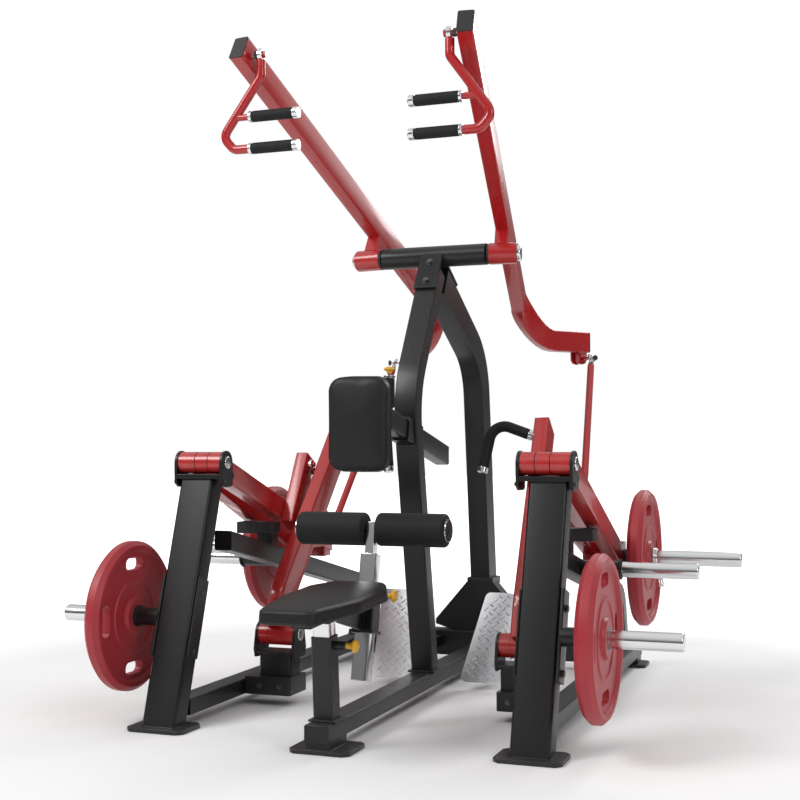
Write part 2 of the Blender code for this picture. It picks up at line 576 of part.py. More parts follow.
def make_chest():
    add_body("chest", chest_point(0.560), "frame")
    tube = beam(chest_point(0.3440), chest_point(1.0770), 0.0500, 0.0640, X, 0.004, Y)
    plate = box((-0.060, 0.3368, 0.845), (0.060, 0.3470, 1.000))
    stem = rod(Vector((0, 0.5600, 0.915)), Vector((0, 0.5600, 1.0440)), 0.0110, 16)
    ring_top = ring(0.1250, 0.1340, 0.0180, 0.0060, Vector((0, 0.5600, 0.910)), Z, 20)
    hole = rod(Vector((0, 0.5600, 1.0240)), Vector((0, 0.5600, 1.0600)), 0.0058, 10)
    add_piece("chest_tube", cut(weld(tube, plate, stem, ring_top), hole), "black_frame", "chest")
    grip = ring(0.0340, 0.1245, GRIP_R, 0.0114, Vector((0, 0.5600, 0.910)), Z, 20)
    add_piece("chest_grip", grip, "black_foam", "chest")
    corner = [(p.x, p.y) for p in fillet([(0, -0.142, 0), (0.095, -0.142, 0), (0.095, 0.142, 0),
                                          (0, 0.142, 0)], 0.040, 5)[1:-1]]
    loop = corner + [(-a, b) for a, b in reversed(corner)]
    upright = Matrix(((1, 0, 0, 0), (0, 0, -1, 0.3360), (0, 1, 0, 0.890), (0, 0, 0, 1)))
    add_piece("chest_pad", prism(loop, 0.060, upright), "black_vinyl", "chest")

    add_body("chest_release", Vector((0, 0.5600, 1.0560)), "chest")
    button = turned([(0.1220, 0), (0.1220, 0.0050), (0.1400, 0.0050), (0.1400, 0.0090),
                     (0.1470, 0.0075), (0.1500, 0.0150), (0.1540, 0.0180), (0.1600, 0.0120),
                     (0.1620, 0)], Vector((0, 0.5600, 0.910)), Z, 16)
    add_piece("chest_button", button, "yellow_plastic", "chest_release")


# ---- the moving arms ---------------------------------------------------------------------
def arm_line_z(y):
    return PIVOT_Z + 0.006 - 0.417 * (y - PIVOT_Y)


def inner_line_z(y):
    return PIVOT_Z - 0.015 - 0.338 * (y - PIVOT_Y)


def make_weight_arm():
    """Twin-beam arm on the post's axle, with the row upright and the loading horn."""
    pivot = Vector((0, PIVOT_Y, PIVOT_Z))
    add_body_pair("weight_arm", pivot)
    groove = 0.0018
    hub = turned([(HUB_X0, BORE_R), (HUB_X0, HUB_R), (0.5140, HUB_R), (0.5140, HUB_R - groove),
                  (0.5165, HUB_R - groove), (0.5165, HUB_R), (0.5575, HUB_R),
                  (0.5575, HUB_R - groove), (0.5600, HUB_R - groove), (0.5600, HUB_R),
                  (HUB_X1, HUB_R), (HUB_X1, BORE_R)], pivot, X)
    start, end = PIVOT_Y + 0.021, 1.218
    outer = beam((0.5905, start, arm_line_z(start)), (0.5905, end, arm_line_z(end)), 0.050, 0.070)
    inner = beam((0.4980, start, inner_line_z(start)), (0.4980, end, inner_line_z(end)),
                 0.050, 0.070)
    tie = box((0.4760, 1.150, 0.4250), (0.6130, 1.212, 0.5010), 0.004)
    upright = beam((0.4520, 0.8060, 0.5570), (0.4520, 0.9350, 0.7850), 0.0430, 0.0750)
    lug = upright_plate([(1.170, 0.460), (1.226, 0.440), (1.222, 0.520), (1.214, 0.538),
                         (1.196, 0.545), (1.178, 0.538), (1.170, 0.520)], 0.4760, 0.4880)
    boss = turned([(0.0020, 0), (0.0020, 0.0120), (-0.0075, 0.0120), (-0.0075, 0.0040),
                   (-0.0215, 0.0040), (-0.0215, 0.0085), (-0.0265, 0.0085), (-0.0265, 0)],
                  ROW_LINK_TOP + X * 0.0145, X, 12)
    cope = box((0.4650, 0.3300, 0.6000), (0.6200, 0.4300, 0.7422))
    beams = cut(weld(outer, inner, tie, upright, lug, boss), cope)
    pin = turned([(0.0190, 0), (0.0190, 0.0140), (0.0090, 0.0140), (0.0090, 0.0040),
                  (-0.0140, 0.0040), (-0.0140, 0.0100), (-0.0190, 0.0100), (-0.0190, 0)],
                 LINK_FOOT, X, 12)
    add_pair("weight_arm", weld(hub, beams, pin), "red_paint", "weight_arm")
    add_pair("load_horn", horn(0.6159, 1.000, LOAD_Y, LOAD_Z, 0.026, 0.6580, 0.006),
             "chrome", "weight_arm")
    add_body_pair("load", (0.684, LOAD_Y, LOAD_Z), "weight_arm")
    add_body_pair("store", (0.718, STORE_Y, STORE_Z))
    add_pair("load_plate", weight_plate(0.6590, LOAD_Y, LOAD_Z), "red_plate", "load")
    add_pair("storage_plate", weight_plate(0.6930, STORE_Y, STORE_Z), "red_plate", "store")
    collar = ring(0.7100, 0.7280, 0.0320, 0.0255, Vector((0, LOAD_Y, LOAD_Z)), X, 16)
    wire = fillet([(0.719, LOAD_Y - 0.012, LOAD_Z - 0.030), (0.745, LOAD_Y - 0.012, LOAD_Z - 0.095),
                   (0.745, LOAD_Y + 0.012, LOAD_Z - 0.095), (0.719, LOAD_Y + 0.012, LOAD_Z - 0.030)],
                  0.008, 3)
    loop = sweep(wire, circle(0.0028, 8), X + Y * 0.01)
    add_body_pair("collar", (0.7190, LOAD_Y, LOAD_Z), "load")
    add_pair("spring_collar", weld(collar, loop), "chrome", "collar")


def weight_plate(x0, y, z):
    """Disc with a raised rim and hub and four grip slots right through it."""
    centre = Vector((0, y, z))
    web = 0.010
    x1 = x0 + PLATE_T
    disc = turned([(x0, PLATE_BORE), (x0, 0.053), (x0 + web, 0.053), (x0 + web, 0.195),
                   (x0, 0.195), (x0, PLATE_R - 0.006), (x0 + 0.006, PLATE_R),
                   (x1 - 0.006, PLATE_R), (x1, PLATE_R - 0.006), (x1, 0.195),
                   (x1 - web, 0.195), (x1 - web, 0.053), (x1, 0.053), (x1, PLATE_BORE)],
                  centre, X, 28)
    slots = []
    for k in range(4):
        outline = []
        for sign, start in ((1, -90), (-1, 90)):
            for step in range(5):
                angle = math.radians(start + 180 * step / 4)
                across = sign * 0.030 + 0.019 * math.cos(angle)
                outline.append((across, 0.158 + 0.019 * math.sin(angle)))
        slot = upright_plate(outline, x0 - 0.01, x1 + 0.01)
        turn = Matrix.Translation(centre) @ Matrix.Rotation(math.tau * k / 4, 4, "X")
        bmesh.ops.transform(slot, matrix=turn, verts=slot.verts)
        slots.append(slot)
    return cut(disc, *slots)


def make_lat_arm():
    line = (ARM_FRONT - ARM_KNEE).normalized()
    side = SLEEVE_AXIS
    above = side.cross(-line).normalized()
    if above.z < 0:
        above.negate()
    add_body_pair("lat_arm", SLEEVE_MID)
    tail = (TAIL_END - TAIL_START).normalized()
    knee = list(hermite(ARM_KNEE, -line * 0.24, TAIL_START, tail * 0.20, 9))
    path = [ARM_FRONT, ARM_KNEE, *knee, TAIL_START, TAIL_END]
    tube = sweep(path, rounded_rect(ARM_W, ARM_D))
    sleeve = ring(0.0080, 0.1030, BAR_R, 0.0156, SLEEVE_START, SLEEVE_AXIS)
    bracket = beam(SLEEVE_MID + above * 0.022, SLEEVE_MID + above * 0.092, 0.0470, 0.062, side)
    stud = turned([(0, 0), (0, 0.0060), (-0.056, 0.0060), (-0.056, 0.0110), (-0.064, 0.0110),
                   (-0.064, 0)], HANDLE_PIVOT + X * 0.0470, X, 12)
    level = Vector((tail.y, -tail.x, 0))
    lugs = []
    for offset in (-0.018, 0.012):
        outline = [(-0.062, -0.020), (-0.062, -0.070), (-0.053, -0.082), (-0.037, -0.086),
                   (-0.021, -0.082), (-0.012, -0.070), (-0.012, -0.020)]
        frame = Matrix(((tail.x, 0, level.x, TAIL_END.x + level.x * offset),
                        (tail.y, 0, level.y, TAIL_END.y + level.y * offset),
                        (0, 1, 0, TAIL_END.z), (0, 0, 0, 1)))
        lugs.append(prism(outline, 0.008, frame))
    inboard = LINK_TOP - level * 0.098
    pin = turned([(0, 0), (0, 0.0100), (0.006, 0.0100), (0.006, 0.0060), (0.080, 0.0060),
                  (0.084, 0.0040), (0.0905, 0.0040), (0.093, 0.0080), (0.098, 0.0098),
                  (0.103, 0.0080), (0.1055, 0.0040), (0.116, 0.0040), (0.116, 0.0085),
                  (0.122, 0.0085), (0.122, 0)],
                 inboard, level, 12)
    add_pair("lat_arm", weld(tube, sleeve, bracket, stud, *lugs, pin), "red_paint", "lat_arm")

    add_body_pair("link", LINK_TOP, "lat_arm")
    run = (LINK_FOOT - LINK_TOP).normalized()
    length = (LINK_FOOT - LINK_TOP).length
    across = (level - run * level.dot(run)).normalized()
    top_eye = ring(-0.0045, 0.0045, 0.0180, 0.0106, LINK_TOP, across, 16)
    foot_eye = ring(-0.0085, 0.0075, 0.0180, 0.0072, LINK_FOOT, X, 16)
    shank = rod(LINK_TOP + run * 0.0150, LINK_FOOT - run * 0.0150, 0.0075, 10)
    body = rod(LINK_TOP + run * 0.0450, LINK_TOP + run * (length - 0.045), 0.0125)
    add_pair("link_rod", weld(body, shank, top_eye, foot_eye), "red_paint", "link")


def make_lat_handle():
    """Handle that swings from the arm's end: bent rod with two grips pointing inward."""
    add_body_pair("handle", HANDLE_PIVOT, "lat_arm")
    y = HANDLE_PIVOT.y
    bend = fillet([(0.2960, y, 1.9800), (0.2960, y, 1.9300), (0.4220, y, 1.7560),
                   (0.3850, y, 1.7150), (0.3300, y, 1.7150)], 0.022, 4)
    tube = sweep(bend, circle(0.0135, 12), Y)
    eye = ring(-0.0080, 0.0080, 0.0185, 0.0072, HANDLE_PIVOT, X, 16)
    pieces = [eye]
    for x_weld, z in ((0.3800, 1.8110), (0.3400, 1.7150)):
        spot = Vector((0, y, z))
        bar = [(0.1728, 0), (0.1728, 0.0140), (0.1740, 0.0170), (0.1900, 0.0170),
               (0.1900, 0.0100), (0.3240, 0.0100), (0.3240, 0.0170), (0.3340, 0.0170),
               (0.3340, 0.0095), (x_weld, 0.0095), (x_weld, 0)]
        pieces.append(turned(bar, spot, X, 14))
    add_pair("lat_handle", weld(tube, *pieces), "red_paint", "handle")
    for name, z in (("upper_grip", 1.8110), ("lower_grip", 1.7150)):
        grip = ring(0.1904, 0.3236, GRIP_R, 0.0104, Vector((0, y, z)), X, 14)
        add_pair(name, grip, "black_foam", "handle")


def make_row_lever():
    pivot = Vector((0, ROW_Y, ROW_Z))
    add_body_pair("row_lever", pivot)
    hub = ring(0.3402, 0.4618, 0.0360, BORE_R, pivot, X)
    path = fillet([(0.4050, 0.6110, 0.2420), (0.4050, 0.6450, 0.3420), (0.3670, 1.0690, 0.8870)],
                  0.12, 3)
    tube = sweep(path, rounded_rect(0.0500, 0.1000, 0.006), X)
    gusset = upright_plate([(0.780, 0.480), (0.915, 0.655), (1.105, 0.521), (1.119, 0.507),
                            (1.120, 0.490), (1.108, 0.478), (1.090, 0.476)], 0.3960, 0.4070)
    add_pair("row_lever", weld(hub, tube, gusset), "red_paint", "row_lever")

    start = Vector((0.3362, 1.0354, 0.8580))
    corner, tip = Vector((0.1960, 1.0450, 0.9080)), Vector((0.1680, 1.0010, 0.7350))
    first, last = (corner - start).normalized(), (tip - corner).normalized()
    bend = fillet([start + first * 0.0140, corner, tip - last * 0.0140], 0.048, 6)
    foam = sweep(bend, circle(0.0180, 16), Z + X)
    collar = turned([(0, 0), (0, 0.0170), (0.0180, 0.0170), (0.0180, 0)], start, first, 20)
    cap = turned([(0, 0), (0, 0.0170), (0.0160, 0.0170), (0.0190, 0.0120), (0.0190, 0)],
                 tip - last * 0.0190, last, 20)
    add_pair("row_handle", weld(foam, collar, cap), "black_foam", "row_lever")

    add_body_pair("row_link", ROW_LINK_TOP, "weight_arm")
    run = (ROW_LINK_FOOT - ROW_LINK_TOP).normalized()
    eyes = [ring(-0.0060, 0.0060, 0.0170, 0.0045, at, X, 16)
            for at in (ROW_LINK_TOP, ROW_LINK_FOOT)]
    shank = rod(ROW_LINK_TOP + run * 0.0140, ROW_LINK_FOOT - run * 0.0140, 0.0058, 10)
    add_pair("row_link", weld(shank, *eyes), "chrome", "row_link")


def main():
    clear_scene()
    make_materials()
    add_body("frame", (0, 0, 0))
    make_base()
    make_posts()
    make_stands()
    make_column()
    make_rear_post()
    make_top_bar()
    make_braces()
    make_storage()
    make_footrests()
    make_seat()
    make_thigh()
    make_chest()
    make_weight_arm()
    make_lat_arm()
    make_lat_handle()
    make_row_lever()


main()
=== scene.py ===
import json
import math

import bmesh
import bpy
import numpy as np
from mathutils import Matrix, Vector
from mathutils.bvhtree import BVHTree

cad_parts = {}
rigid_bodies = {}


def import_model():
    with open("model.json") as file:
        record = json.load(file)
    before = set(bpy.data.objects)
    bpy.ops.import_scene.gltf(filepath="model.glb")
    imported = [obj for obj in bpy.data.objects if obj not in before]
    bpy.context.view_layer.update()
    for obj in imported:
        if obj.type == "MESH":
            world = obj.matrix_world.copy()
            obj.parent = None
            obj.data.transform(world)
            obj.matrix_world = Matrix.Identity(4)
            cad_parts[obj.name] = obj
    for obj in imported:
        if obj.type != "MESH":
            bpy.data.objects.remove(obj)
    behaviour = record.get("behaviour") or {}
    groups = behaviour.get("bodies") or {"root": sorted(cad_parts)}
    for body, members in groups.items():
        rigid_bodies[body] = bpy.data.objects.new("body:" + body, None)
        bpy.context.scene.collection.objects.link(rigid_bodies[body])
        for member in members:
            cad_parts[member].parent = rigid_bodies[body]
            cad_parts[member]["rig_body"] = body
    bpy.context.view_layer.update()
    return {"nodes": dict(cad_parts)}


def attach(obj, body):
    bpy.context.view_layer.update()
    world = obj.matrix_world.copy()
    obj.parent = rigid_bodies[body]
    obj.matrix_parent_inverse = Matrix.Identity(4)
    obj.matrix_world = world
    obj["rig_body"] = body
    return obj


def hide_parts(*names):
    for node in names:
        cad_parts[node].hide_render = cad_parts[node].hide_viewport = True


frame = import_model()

shiftY = -0.7871          # the CAD's drawing frame to the row frame
xAxis, yAxis, zAxis = Vector((1, 0, 0)), Vector((0, 1, 0)), Vector((0, 0, 1))


def at(x, y, z):
    return Vector((x, y + shiftY, z))


look = {
    "paintRed": (0.46, 0.006, 0.008), "paintRedDeep": (0.33, 0.003, 0.005),
    "paintBlack": (0.0045, 0.0047, 0.0053), "paintBlackWarm": (0.0075, 0.0078, 0.0085),
    "plateRed": (0.36, 0.014, 0.022), "plateRedPale": (0.42, 0.032, 0.044),
    "dustColour": (0.34, 0.32, 0.30),
    "vinyl": (0.0050, 0.0050, 0.0055), "foam": (0.0050, 0.0050, 0.0053),
}


# a node group with float or colour sockets
def makeGroup(name, inputs, outputs):
    tree = bpy.data.node_groups.new(name, "ShaderNodeTree")
    for label, kind, value in inputs:
        socket = tree.interface.new_socket(label, in_out="INPUT", socket_type=kind)
        socket.default_value = value
    for label, kind in outputs:
        tree.interface.new_socket(label, in_out="OUTPUT", socket_type=kind)
    return tree, tree.nodes.new("NodeGroupInput"), tree.nodes.new("NodeGroupOutput")


def addNode(tree, kind, **values):
    node = tree.nodes.new(kind)
    for key, value in values.items():
        setattr(node, key, value)
    return node


def setIn(node, **values):
    for key, value in values.items():
        node.inputs[key.replace("_", " ")].default_value = value


def makeNoise(tree, vector, scale, detail=3.0, rough=0.55):
    noise = addNode(tree, "ShaderNodeTexNoise")
    noise.inputs["Detail"].default_value = detail
    noise.inputs["Roughness"].default_value = rough
    tree.links.new(vector, noise.inputs["Vector"])
    if isinstance(scale, (int, float)):
        noise.inputs["Scale"].default_value = scale
    else:
        tree.links.new(scale, noise.inputs["Scale"])
    return noise


def makeMath(tree, operation, a, b, clamp=False):
    node = addNode(tree, "ShaderNodeMath", operation=operation, use_clamp=clamp)
    for socket, value in zip(node.inputs, (a, b)):
        if isinstance(value, (int, float)):
            socket.default_value = value
        else:
            tree.links.new(value, socket)
    return node.outputs[0]


def makeMix(tree, factor, a, b):
    node = addNode(tree, "ShaderNodeMix", data_type="RGBA")
    for socket, value in ((node.inputs[0], factor), (node.inputs[6], a), (node.inputs[7], b)):
        if isinstance(value, (int, float)):
            socket.default_value = value
        elif isinstance(value, tuple):
            socket.default_value = (*value, 1)
        else:
            tree.links.new(value, socket)
    return node.outputs[2]


# colour drift, worn corners and settled dust for any coated surface
def finishGroup():
    tree, source, sink = makeGroup("coatedFinish", [
        ("Colour", "NodeSocketColor", (0.5, 0.5, 0.5, 1)),
        ("Second", "NodeSocketColor", (0.4, 0.4, 0.4, 1)),
        ("Worn", "NodeSocketColor", (0.6, 0.6, 0.6, 1)),
        ("Scale", "NodeSocketFloat", 6.0), ("Drift", "NodeSocketFloat", 0.5),
        ("Wear", "NodeSocketFloat", 0.2), ("Dust", "NodeSocketFloat", 0.1),
        ("Gloss", "NodeSocketFloat", 0.3), ("Spread", "NodeSocketFloat", 0.08)],
        [("Colour", "NodeSocketColor"), ("Roughness", "NodeSocketFloat"),
         ("Height", "NodeSocketFloat")])
    place = addNode(tree, "ShaderNodeTexCoord").outputs["Object"]
    broad = makeNoise(tree, place, source.outputs["Scale"], 4.0)
    fine = makeNoise(tree, place, 90.0, 5.0, 0.65)
    peel = makeNoise(tree, place, 420.0, 2.0, 0.5)
    drift = makeMath(tree, "MULTIPLY", broad.outputs["Fac"], source.outputs["Drift"], True)
    colour = makeMix(tree, drift, source.outputs["Colour"], source.outputs["Second"])
    shape = addNode(tree, "ShaderNodeNewGeometry")
    edge = addNode(tree, "ShaderNodeMapRange")
    setIn(edge, From_Min=0.52, From_Max=0.60)
    tree.links.new(shape.outputs["Pointiness"], edge.inputs["Value"])
    broken = makeMath(tree, "MULTIPLY", edge.outputs[0], fine.outputs["Fac"], True)
    worn = makeMath(tree, "MULTIPLY", broken, source.outputs["Wear"], True)
    colour = makeMix(tree, worn, colour, source.outputs["Worn"])
    split = addNode(tree, "ShaderNodeSeparateXYZ")
    tree.links.new(shape.outputs["Normal"], split.inputs[0])
    upward = makeMath(tree, "POWER", makeMath(tree, "MAXIMUM", split.outputs["Z"], 0.0), 3.0)
    patchy = makeMath(tree, "MULTIPLY", upward, fine.outputs["Fac"], True)
    dust = makeMath(tree, "MULTIPLY", patchy, source.outputs["Dust"], True)
    colour = makeMix(tree, dust, colour, look["dustColour"])
    spread = makeMath(tree, "MULTIPLY", broad.outputs["Fac"], source.outputs["Spread"])
    rough = makeMath(tree, "ADD", source.outputs["Gloss"], spread)
    rough = makeMath(tree, "ADD", rough, makeMath(tree, "MULTIPLY", dust, 0.5), True)
    tree.links.new(colour, sink.inputs["Colour"])
    tree.links.new(rough, sink.inputs["Roughness"])
    tree.links.new(peel.outputs["Fac"], sink.inputs["Height"])
    return tree


# pebbled leather cells over a soft unevenness, as one height
def grainGroup():
    tree, source, sink = makeGroup("pebbleGrain", [
        ("Scale", "NodeSocketFloat", 260.0), ("Soft", "NodeSocketFloat", 0.4)],
        [("Height", "NodeSocketFloat"), ("Cells", "NodeSocketFloat")])
    place = addNode(tree, "ShaderNodeTexCoord").outputs["Object"]
    bend = makeNoise(tree, place, 60.0, 2.0)
    moved = addNode(tree, "ShaderNodeVectorMath", operation="MULTIPLY_ADD")
    moved.inputs[1].default_value = (0.004, 0.004, 0.004)
    tree.links.new(bend.outputs["Color"], moved.inputs[0])
    tree.links.new(place, moved.inputs[2])
    cells = addNode(tree, "ShaderNodeTexVoronoi", feature="SMOOTH_F1")
    cells.inputs["Smoothness"].default_value = 0.35
    tree.links.new(moved.outputs[0], cells.inputs["Vector"])
    tree.links.new(source.outputs["Scale"], cells.inputs["Scale"])
    slow = makeNoise(tree, place, 34.0, 3.0)
    soft = makeMath(tree, "MULTIPLY", slow.outputs["Fac"], source.outputs["Soft"])
    tree.links.new(makeMath(tree, "ADD", cells.outputs["Distance"], soft), sink.inputs["Height"])
    tree.links.new(cells.outputs["Distance"], sink.inputs["Cells"])
    return tree


finishTree, grainTree = finishGroup(), grainGroup()


def makeMaterial(name, colour, second, worn, gloss, bump=(0.08, 0.0002), grain=None, metallic=0.0,
                 **options):
    material = bpy.data.materials.new(name)
    material.use_nodes = True
    tree = material.node_tree
    shader = tree.nodes["Principled BSDF"]
    shader.inputs["Metallic"].default_value = metallic
    for key, value in options.get("shader", {}).items():
        shader.inputs[key].default_value = value
    finish = addNode(tree, "ShaderNodeGroup", node_tree=finishTree)
    setIn(finish, Colour=(*colour, 1), Second=(*second, 1), Worn=(*worn, 1), Gloss=gloss)
    setIn(finish, **options.get("finish", {}))
    tree.links.new(finish.outputs["Colour"], shader.inputs["Base Color"])
    tree.links.new(finish.outputs["Roughness"], shader.inputs["Roughness"])
    relief = addNode(tree, "ShaderNodeBump")
    relief.inputs["Strength"].default_value = bump[0]
    relief.inputs["Distance"].default_value = bump[1]
    height = finish.outputs["Height"]
    if grain:
        pebbles = addNode(tree, "ShaderNodeGroup", node_tree=grainTree)
        setIn(pebbles, Scale=grain[0], Soft=grain[1])
        height = pebbles.outputs["Height"]
    tree.links.new(height, relief.inputs["Height"])
    tree.links.new(relief.outputs["Normal"], shader.inputs["Normal"])
    return material


mats = {
    "red": makeMaterial("redGlossPaint", look["paintRed"], look["paintRedDeep"], (0.62, 0.10, 0.09),
                        0.24, (0.05, 0.0002), shader={"Coat Weight": 0.55, "Coat Roughness": 0.08},
                        finish={"Scale": 3.0, "Drift": 0.35, "Wear": 0.35, "Dust": 0.10}),
    "black": makeMaterial("blackPowderCoat", look["paintBlack"], look["paintBlackWarm"],
                          (0.12, 0.12, 0.12), 0.33, (0.16, 0.0003),
                          shader={"Coat Weight": 0.12, "Coat Roughness": 0.2,
                                  "Specular IOR Level": 0.38},
                          finish={"Scale": 5.0, "Drift": 0.8, "Wear": 0.30, "Dust": 0.12}),
    "plate": makeMaterial("redUrethane", look["plateRed"], look["plateRedPale"], (0.66, 0.18, 0.19),
                          0.42, (0.25, 0.0004), shader={"Coat Weight": 0.12, "Coat Roughness": 0.35},
                          finish={"Scale": 9.0, "Drift": 0.75, "Wear": 0.7, "Dust": 0.10}),
    "chrome": makeMaterial("polishedChrome", (0.82, 0.83, 0.84), (0.74, 0.75, 0.77),
                           (0.9, 0.9, 0.9), 0.10, (0.03, 0.0001), metallic=1.0,
                           finish={"Scale": 14.0, "Drift": 0.5, "Wear": 0.0, "Dust": 0.03,
                                   "Spread": 0.10}),
    "steel": makeMaterial("darkSteel", (0.09, 0.09, 0.095), (0.06, 0.06, 0.062), (0.3, 0.3, 0.3),
                          0.32, (0.10, 0.0002), metallic=0.85,
                          finish={"Scale": 20.0, "Drift": 0.6, "Wear": 0.5, "Dust": 0.06}),
    "vinyl": makeMaterial("blackVinyl", look["vinyl"], (0.020, 0.020, 0.022), (0.05, 0.05, 0.05),
                          0.44, (0.30, 0.0006), (330.0, 0.5),
                          shader={"Specular IOR Level": 0.36},
                          finish={"Scale": 7.0, "Drift": 0.6, "Wear": 0.15, "Dust": 0.05}),
    "foam": makeMaterial("blackFoam", look["foam"], (0.020, 0.020, 0.021), (0.05, 0.05, 0.05),
                         0.62, (0.45, 0.0008), (520.0, 0.25),
                         shader={"Specular IOR Level": 0.32},
                         finish={"Scale": 12.0, "Drift": 0.7, "Wear": 0.1, "Dust": 0.06}),
    "rubber": makeMaterial("blackRubber", (0.014, 0.014, 0.015), (0.020, 0.020, 0.020),
                           (0.06, 0.06, 0.06), 0.55, (0.20, 0.0003),
                           finish={"Scale": 10.0, "Drift": 0.7, "Wear": 0.3, "Dust": 0.15}),
    "yellow": makeMaterial("yellowPlastic", (0.78, 0.43, 0.02), (0.70, 0.36, 0.015),
                           (0.85, 0.62, 0.2), 0.30, (0.06, 0.0002), shader={"Coat Weight": 0.3},
                           finish={"Scale": 30.0, "Drift": 0.5, "Wear": 0.3, "Dust": 0.05}),
    "tread": makeMaterial("treadAluminium", (0.66, 0.67, 0.69), (0.52, 0.53, 0.56),
                          (0.85, 0.85, 0.86), 0.30, (0.22, 0.0003), metallic=1.0,
                          finish={"Scale": 22.0, "Drift": 0.8, "Wear": 0.4, "Dust": 0.12,
                                  "Spread": 0.2}),
    # painted shade: a near-black red for the faces inside the hub grooves, standing in for the shade
    # that falls in them
    "paintedGrooveShade": makeMaterial("grooveShadow", (0.020, 0.006, 0.006), (0.015, 0.005, 0.005),
                          (0.05, 0.02, 0.02), 0.5, finish={"Wear": 0.0}),
}


steel = {"edge": 0.0014, "sharp": 50, "flat": 0.6}     # the frame's rounded edges


def nodeBody(node):
    return frame["nodes"][node]["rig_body"]


# turn a bmesh into a piece on a body, with its edges finished by live modifiers
def settle(name, bm, slots, body, angle=38, bevel=0.0, weighted=True):
    mesh = bpy.data.meshes.new(name)
    bm.to_mesh(mesh)
    bm.free()
    mesh.shade_smooth()
    mesh.set_sharp_from_angle(angle=math.radians(angle))
    for key in slots:
        mesh.materials.append(mats[key])
    item = bpy.data.objects.new(name, mesh)
    bpy.context.scene.collection.objects.link(item)
    if bevel:
        edge = item.modifiers.new("edge", "BEVEL")
        edge.width, edge.segments = bevel, 3
        edge.limit_method, edge.angle_limit = "ANGLE", math.radians(50)
        edge.harden_normals = False
    if weighted:
        item.modifiers.new("normals", "WEIGHTED_NORMAL").keep_sharp = True
    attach(item, body)
    return item


# the CAD node's shape as clean faces
def nodeMesh(node):
    bm = bmesh.new()
    bm.from_mesh(frame["nodes"][node].data)
    bmesh.ops.remove_doubles(bm, verts=bm.verts, dist=2e-5)
    bmesh.ops.dissolve_limit(bm, angle_limit=math.radians(steel["flat"]), verts=bm.verts, edges=bm.edges)
    return bm


# a finished copy of a CAD node, cut off beyond x = keep where a horn is replaced
def skin(node, slots, bevel=steel["edge"], keep=None):
    bm = nodeMesh(node)
    if keep:
        for sign in (1, -1):
            bmesh.ops.bisect_plane(bm, geom=bm.verts[:] + bm.edges[:] + bm.faces[:],
                                   plane_co=(sign * keep, 0, 0), plane_no=(sign, 0, 0),
                                   clear_outer=True)
        bmesh.ops.holes_fill(bm, edges=[e for e in bm.edges if e.is_boundary], sides=0)
    piece = settle(node + "_skin", bm, slots, nodeBody(node), steel["sharp"], bevel)
    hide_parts(node)
    return piece


def flipX(bm):
    bmesh.ops.scale(bm, vec=(-1, 1, 1), verts=bm.verts)
    bmesh.ops.reverse_faces(bm, faces=bm.faces)
    return bm


# the piece that build() makes on the right, and its mirror image on the left
def both(name, build, slots, body, **options):
    made = []
    for side, sign in (("left", -1), ("right", 1)):
        bm = build()
        if sign < 0:
            flipX(bm)
        rider = body if body == "frame" else side + "_" + body
        made.append(settle(side + "_" + name, bm, slots, rider, **options))
    return made


def replaceBoth(pieces, *nodes):
    for side, piece in zip(("left_", "right_"), pieces):
        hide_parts(*[side + n for n in nodes])


def fillet(points, radius, steps=6):
    points = [Vector(p) for p in points]
    path = [points[0]]
    for before, corner, after in zip(points, points[1:], points[2:]):
        a, b = (before - corner).normalized(), (after - corner).normalized()
        half = a.angle(b) / 2
        if half > 1.5:
            continue
        reach = min(radius / math.tan(half), (before - corner).length * 0.49,
                    (after - corner).length * 0.49)
        size = reach * math.tan(half)
        centre = corner + (a + b).normalized() * (size / math.sin(half))
        start, end = corner + a * reach - centre, corner + b * reach - centre
        turn, axis = start.angle(end), start.cross(end).normalized()
        for k in range(steps + 1):
            path.append(centre + Matrix.Rotation(turn * k / steps, 3, axis) @ start)
    path.append(points[-1])
    return path


# the mesh that an object's modifiers or a curve's bevel gives, taken as a bmesh
def takeShape(item):
    bpy.context.scene.collection.objects.link(item)
    evaluated = item.evaluated_get(bpy.context.evaluated_depsgraph_get())
    mesh = bpy.data.meshes.new_from_object(evaluated)
    bm = bmesh.new()
    bm.from_mesh(mesh)
    bpy.data.meshes.remove(mesh)
    bpy.data.objects.remove(item, do_unlink=True)
    bmesh.ops.remove_doubles(bm, verts=bm.verts, dist=2e-5)
    return bm


# screw (along, radius) points round an axis; tint(along, radius) picks face materials
def turned(profile, start, axis=xAxis, count=64, round=0.0, tint=None):
    start, axis = Vector(start), Vector(axis).normalized()
    across = axis.orthogonal().normalized()
    line = [Vector((a, r, 0)) for a, r in profile]
    if round:
        line = fillet(line, round, 4)
    points = [(p.y, 0, p.x) for p in reversed(line)]     # from top to bottom at +X
    pairs = [(k, k + 1) for k in range(len(points) - 1)]
    if line[0].y > 0 and line[-1].y > 0:
        pairs.append((len(points) - 1, 0))
    cage = bpy.data.meshes.new("profile")
    cage.from_pydata(points, pairs, [])
    item = bpy.data.objects.new("profile", cage)
    screw = item.modifiers.new("turn", "SCREW")
    screw.steps = screw.render_steps = count
    screw.use_merge_vertices, screw.merge_threshold = True, 2e-5
    bm = takeShape(item)
    third = axis.cross(across)
    place = Matrix((across, third, axis)).transposed().to_4x4()
    bmesh.ops.transform(bm, matrix=Matrix.Translation(start) @ place, verts=bm.verts)
    bmesh.ops.recalc_face_normals(bm, faces=bm.faces)
    for face in bm.faces if tint else ():
        spot = face.calc_center_median() - start
        along = spot.dot(axis)
        face.material_index = tint(along, (spot - axis * along).length)
    return bm


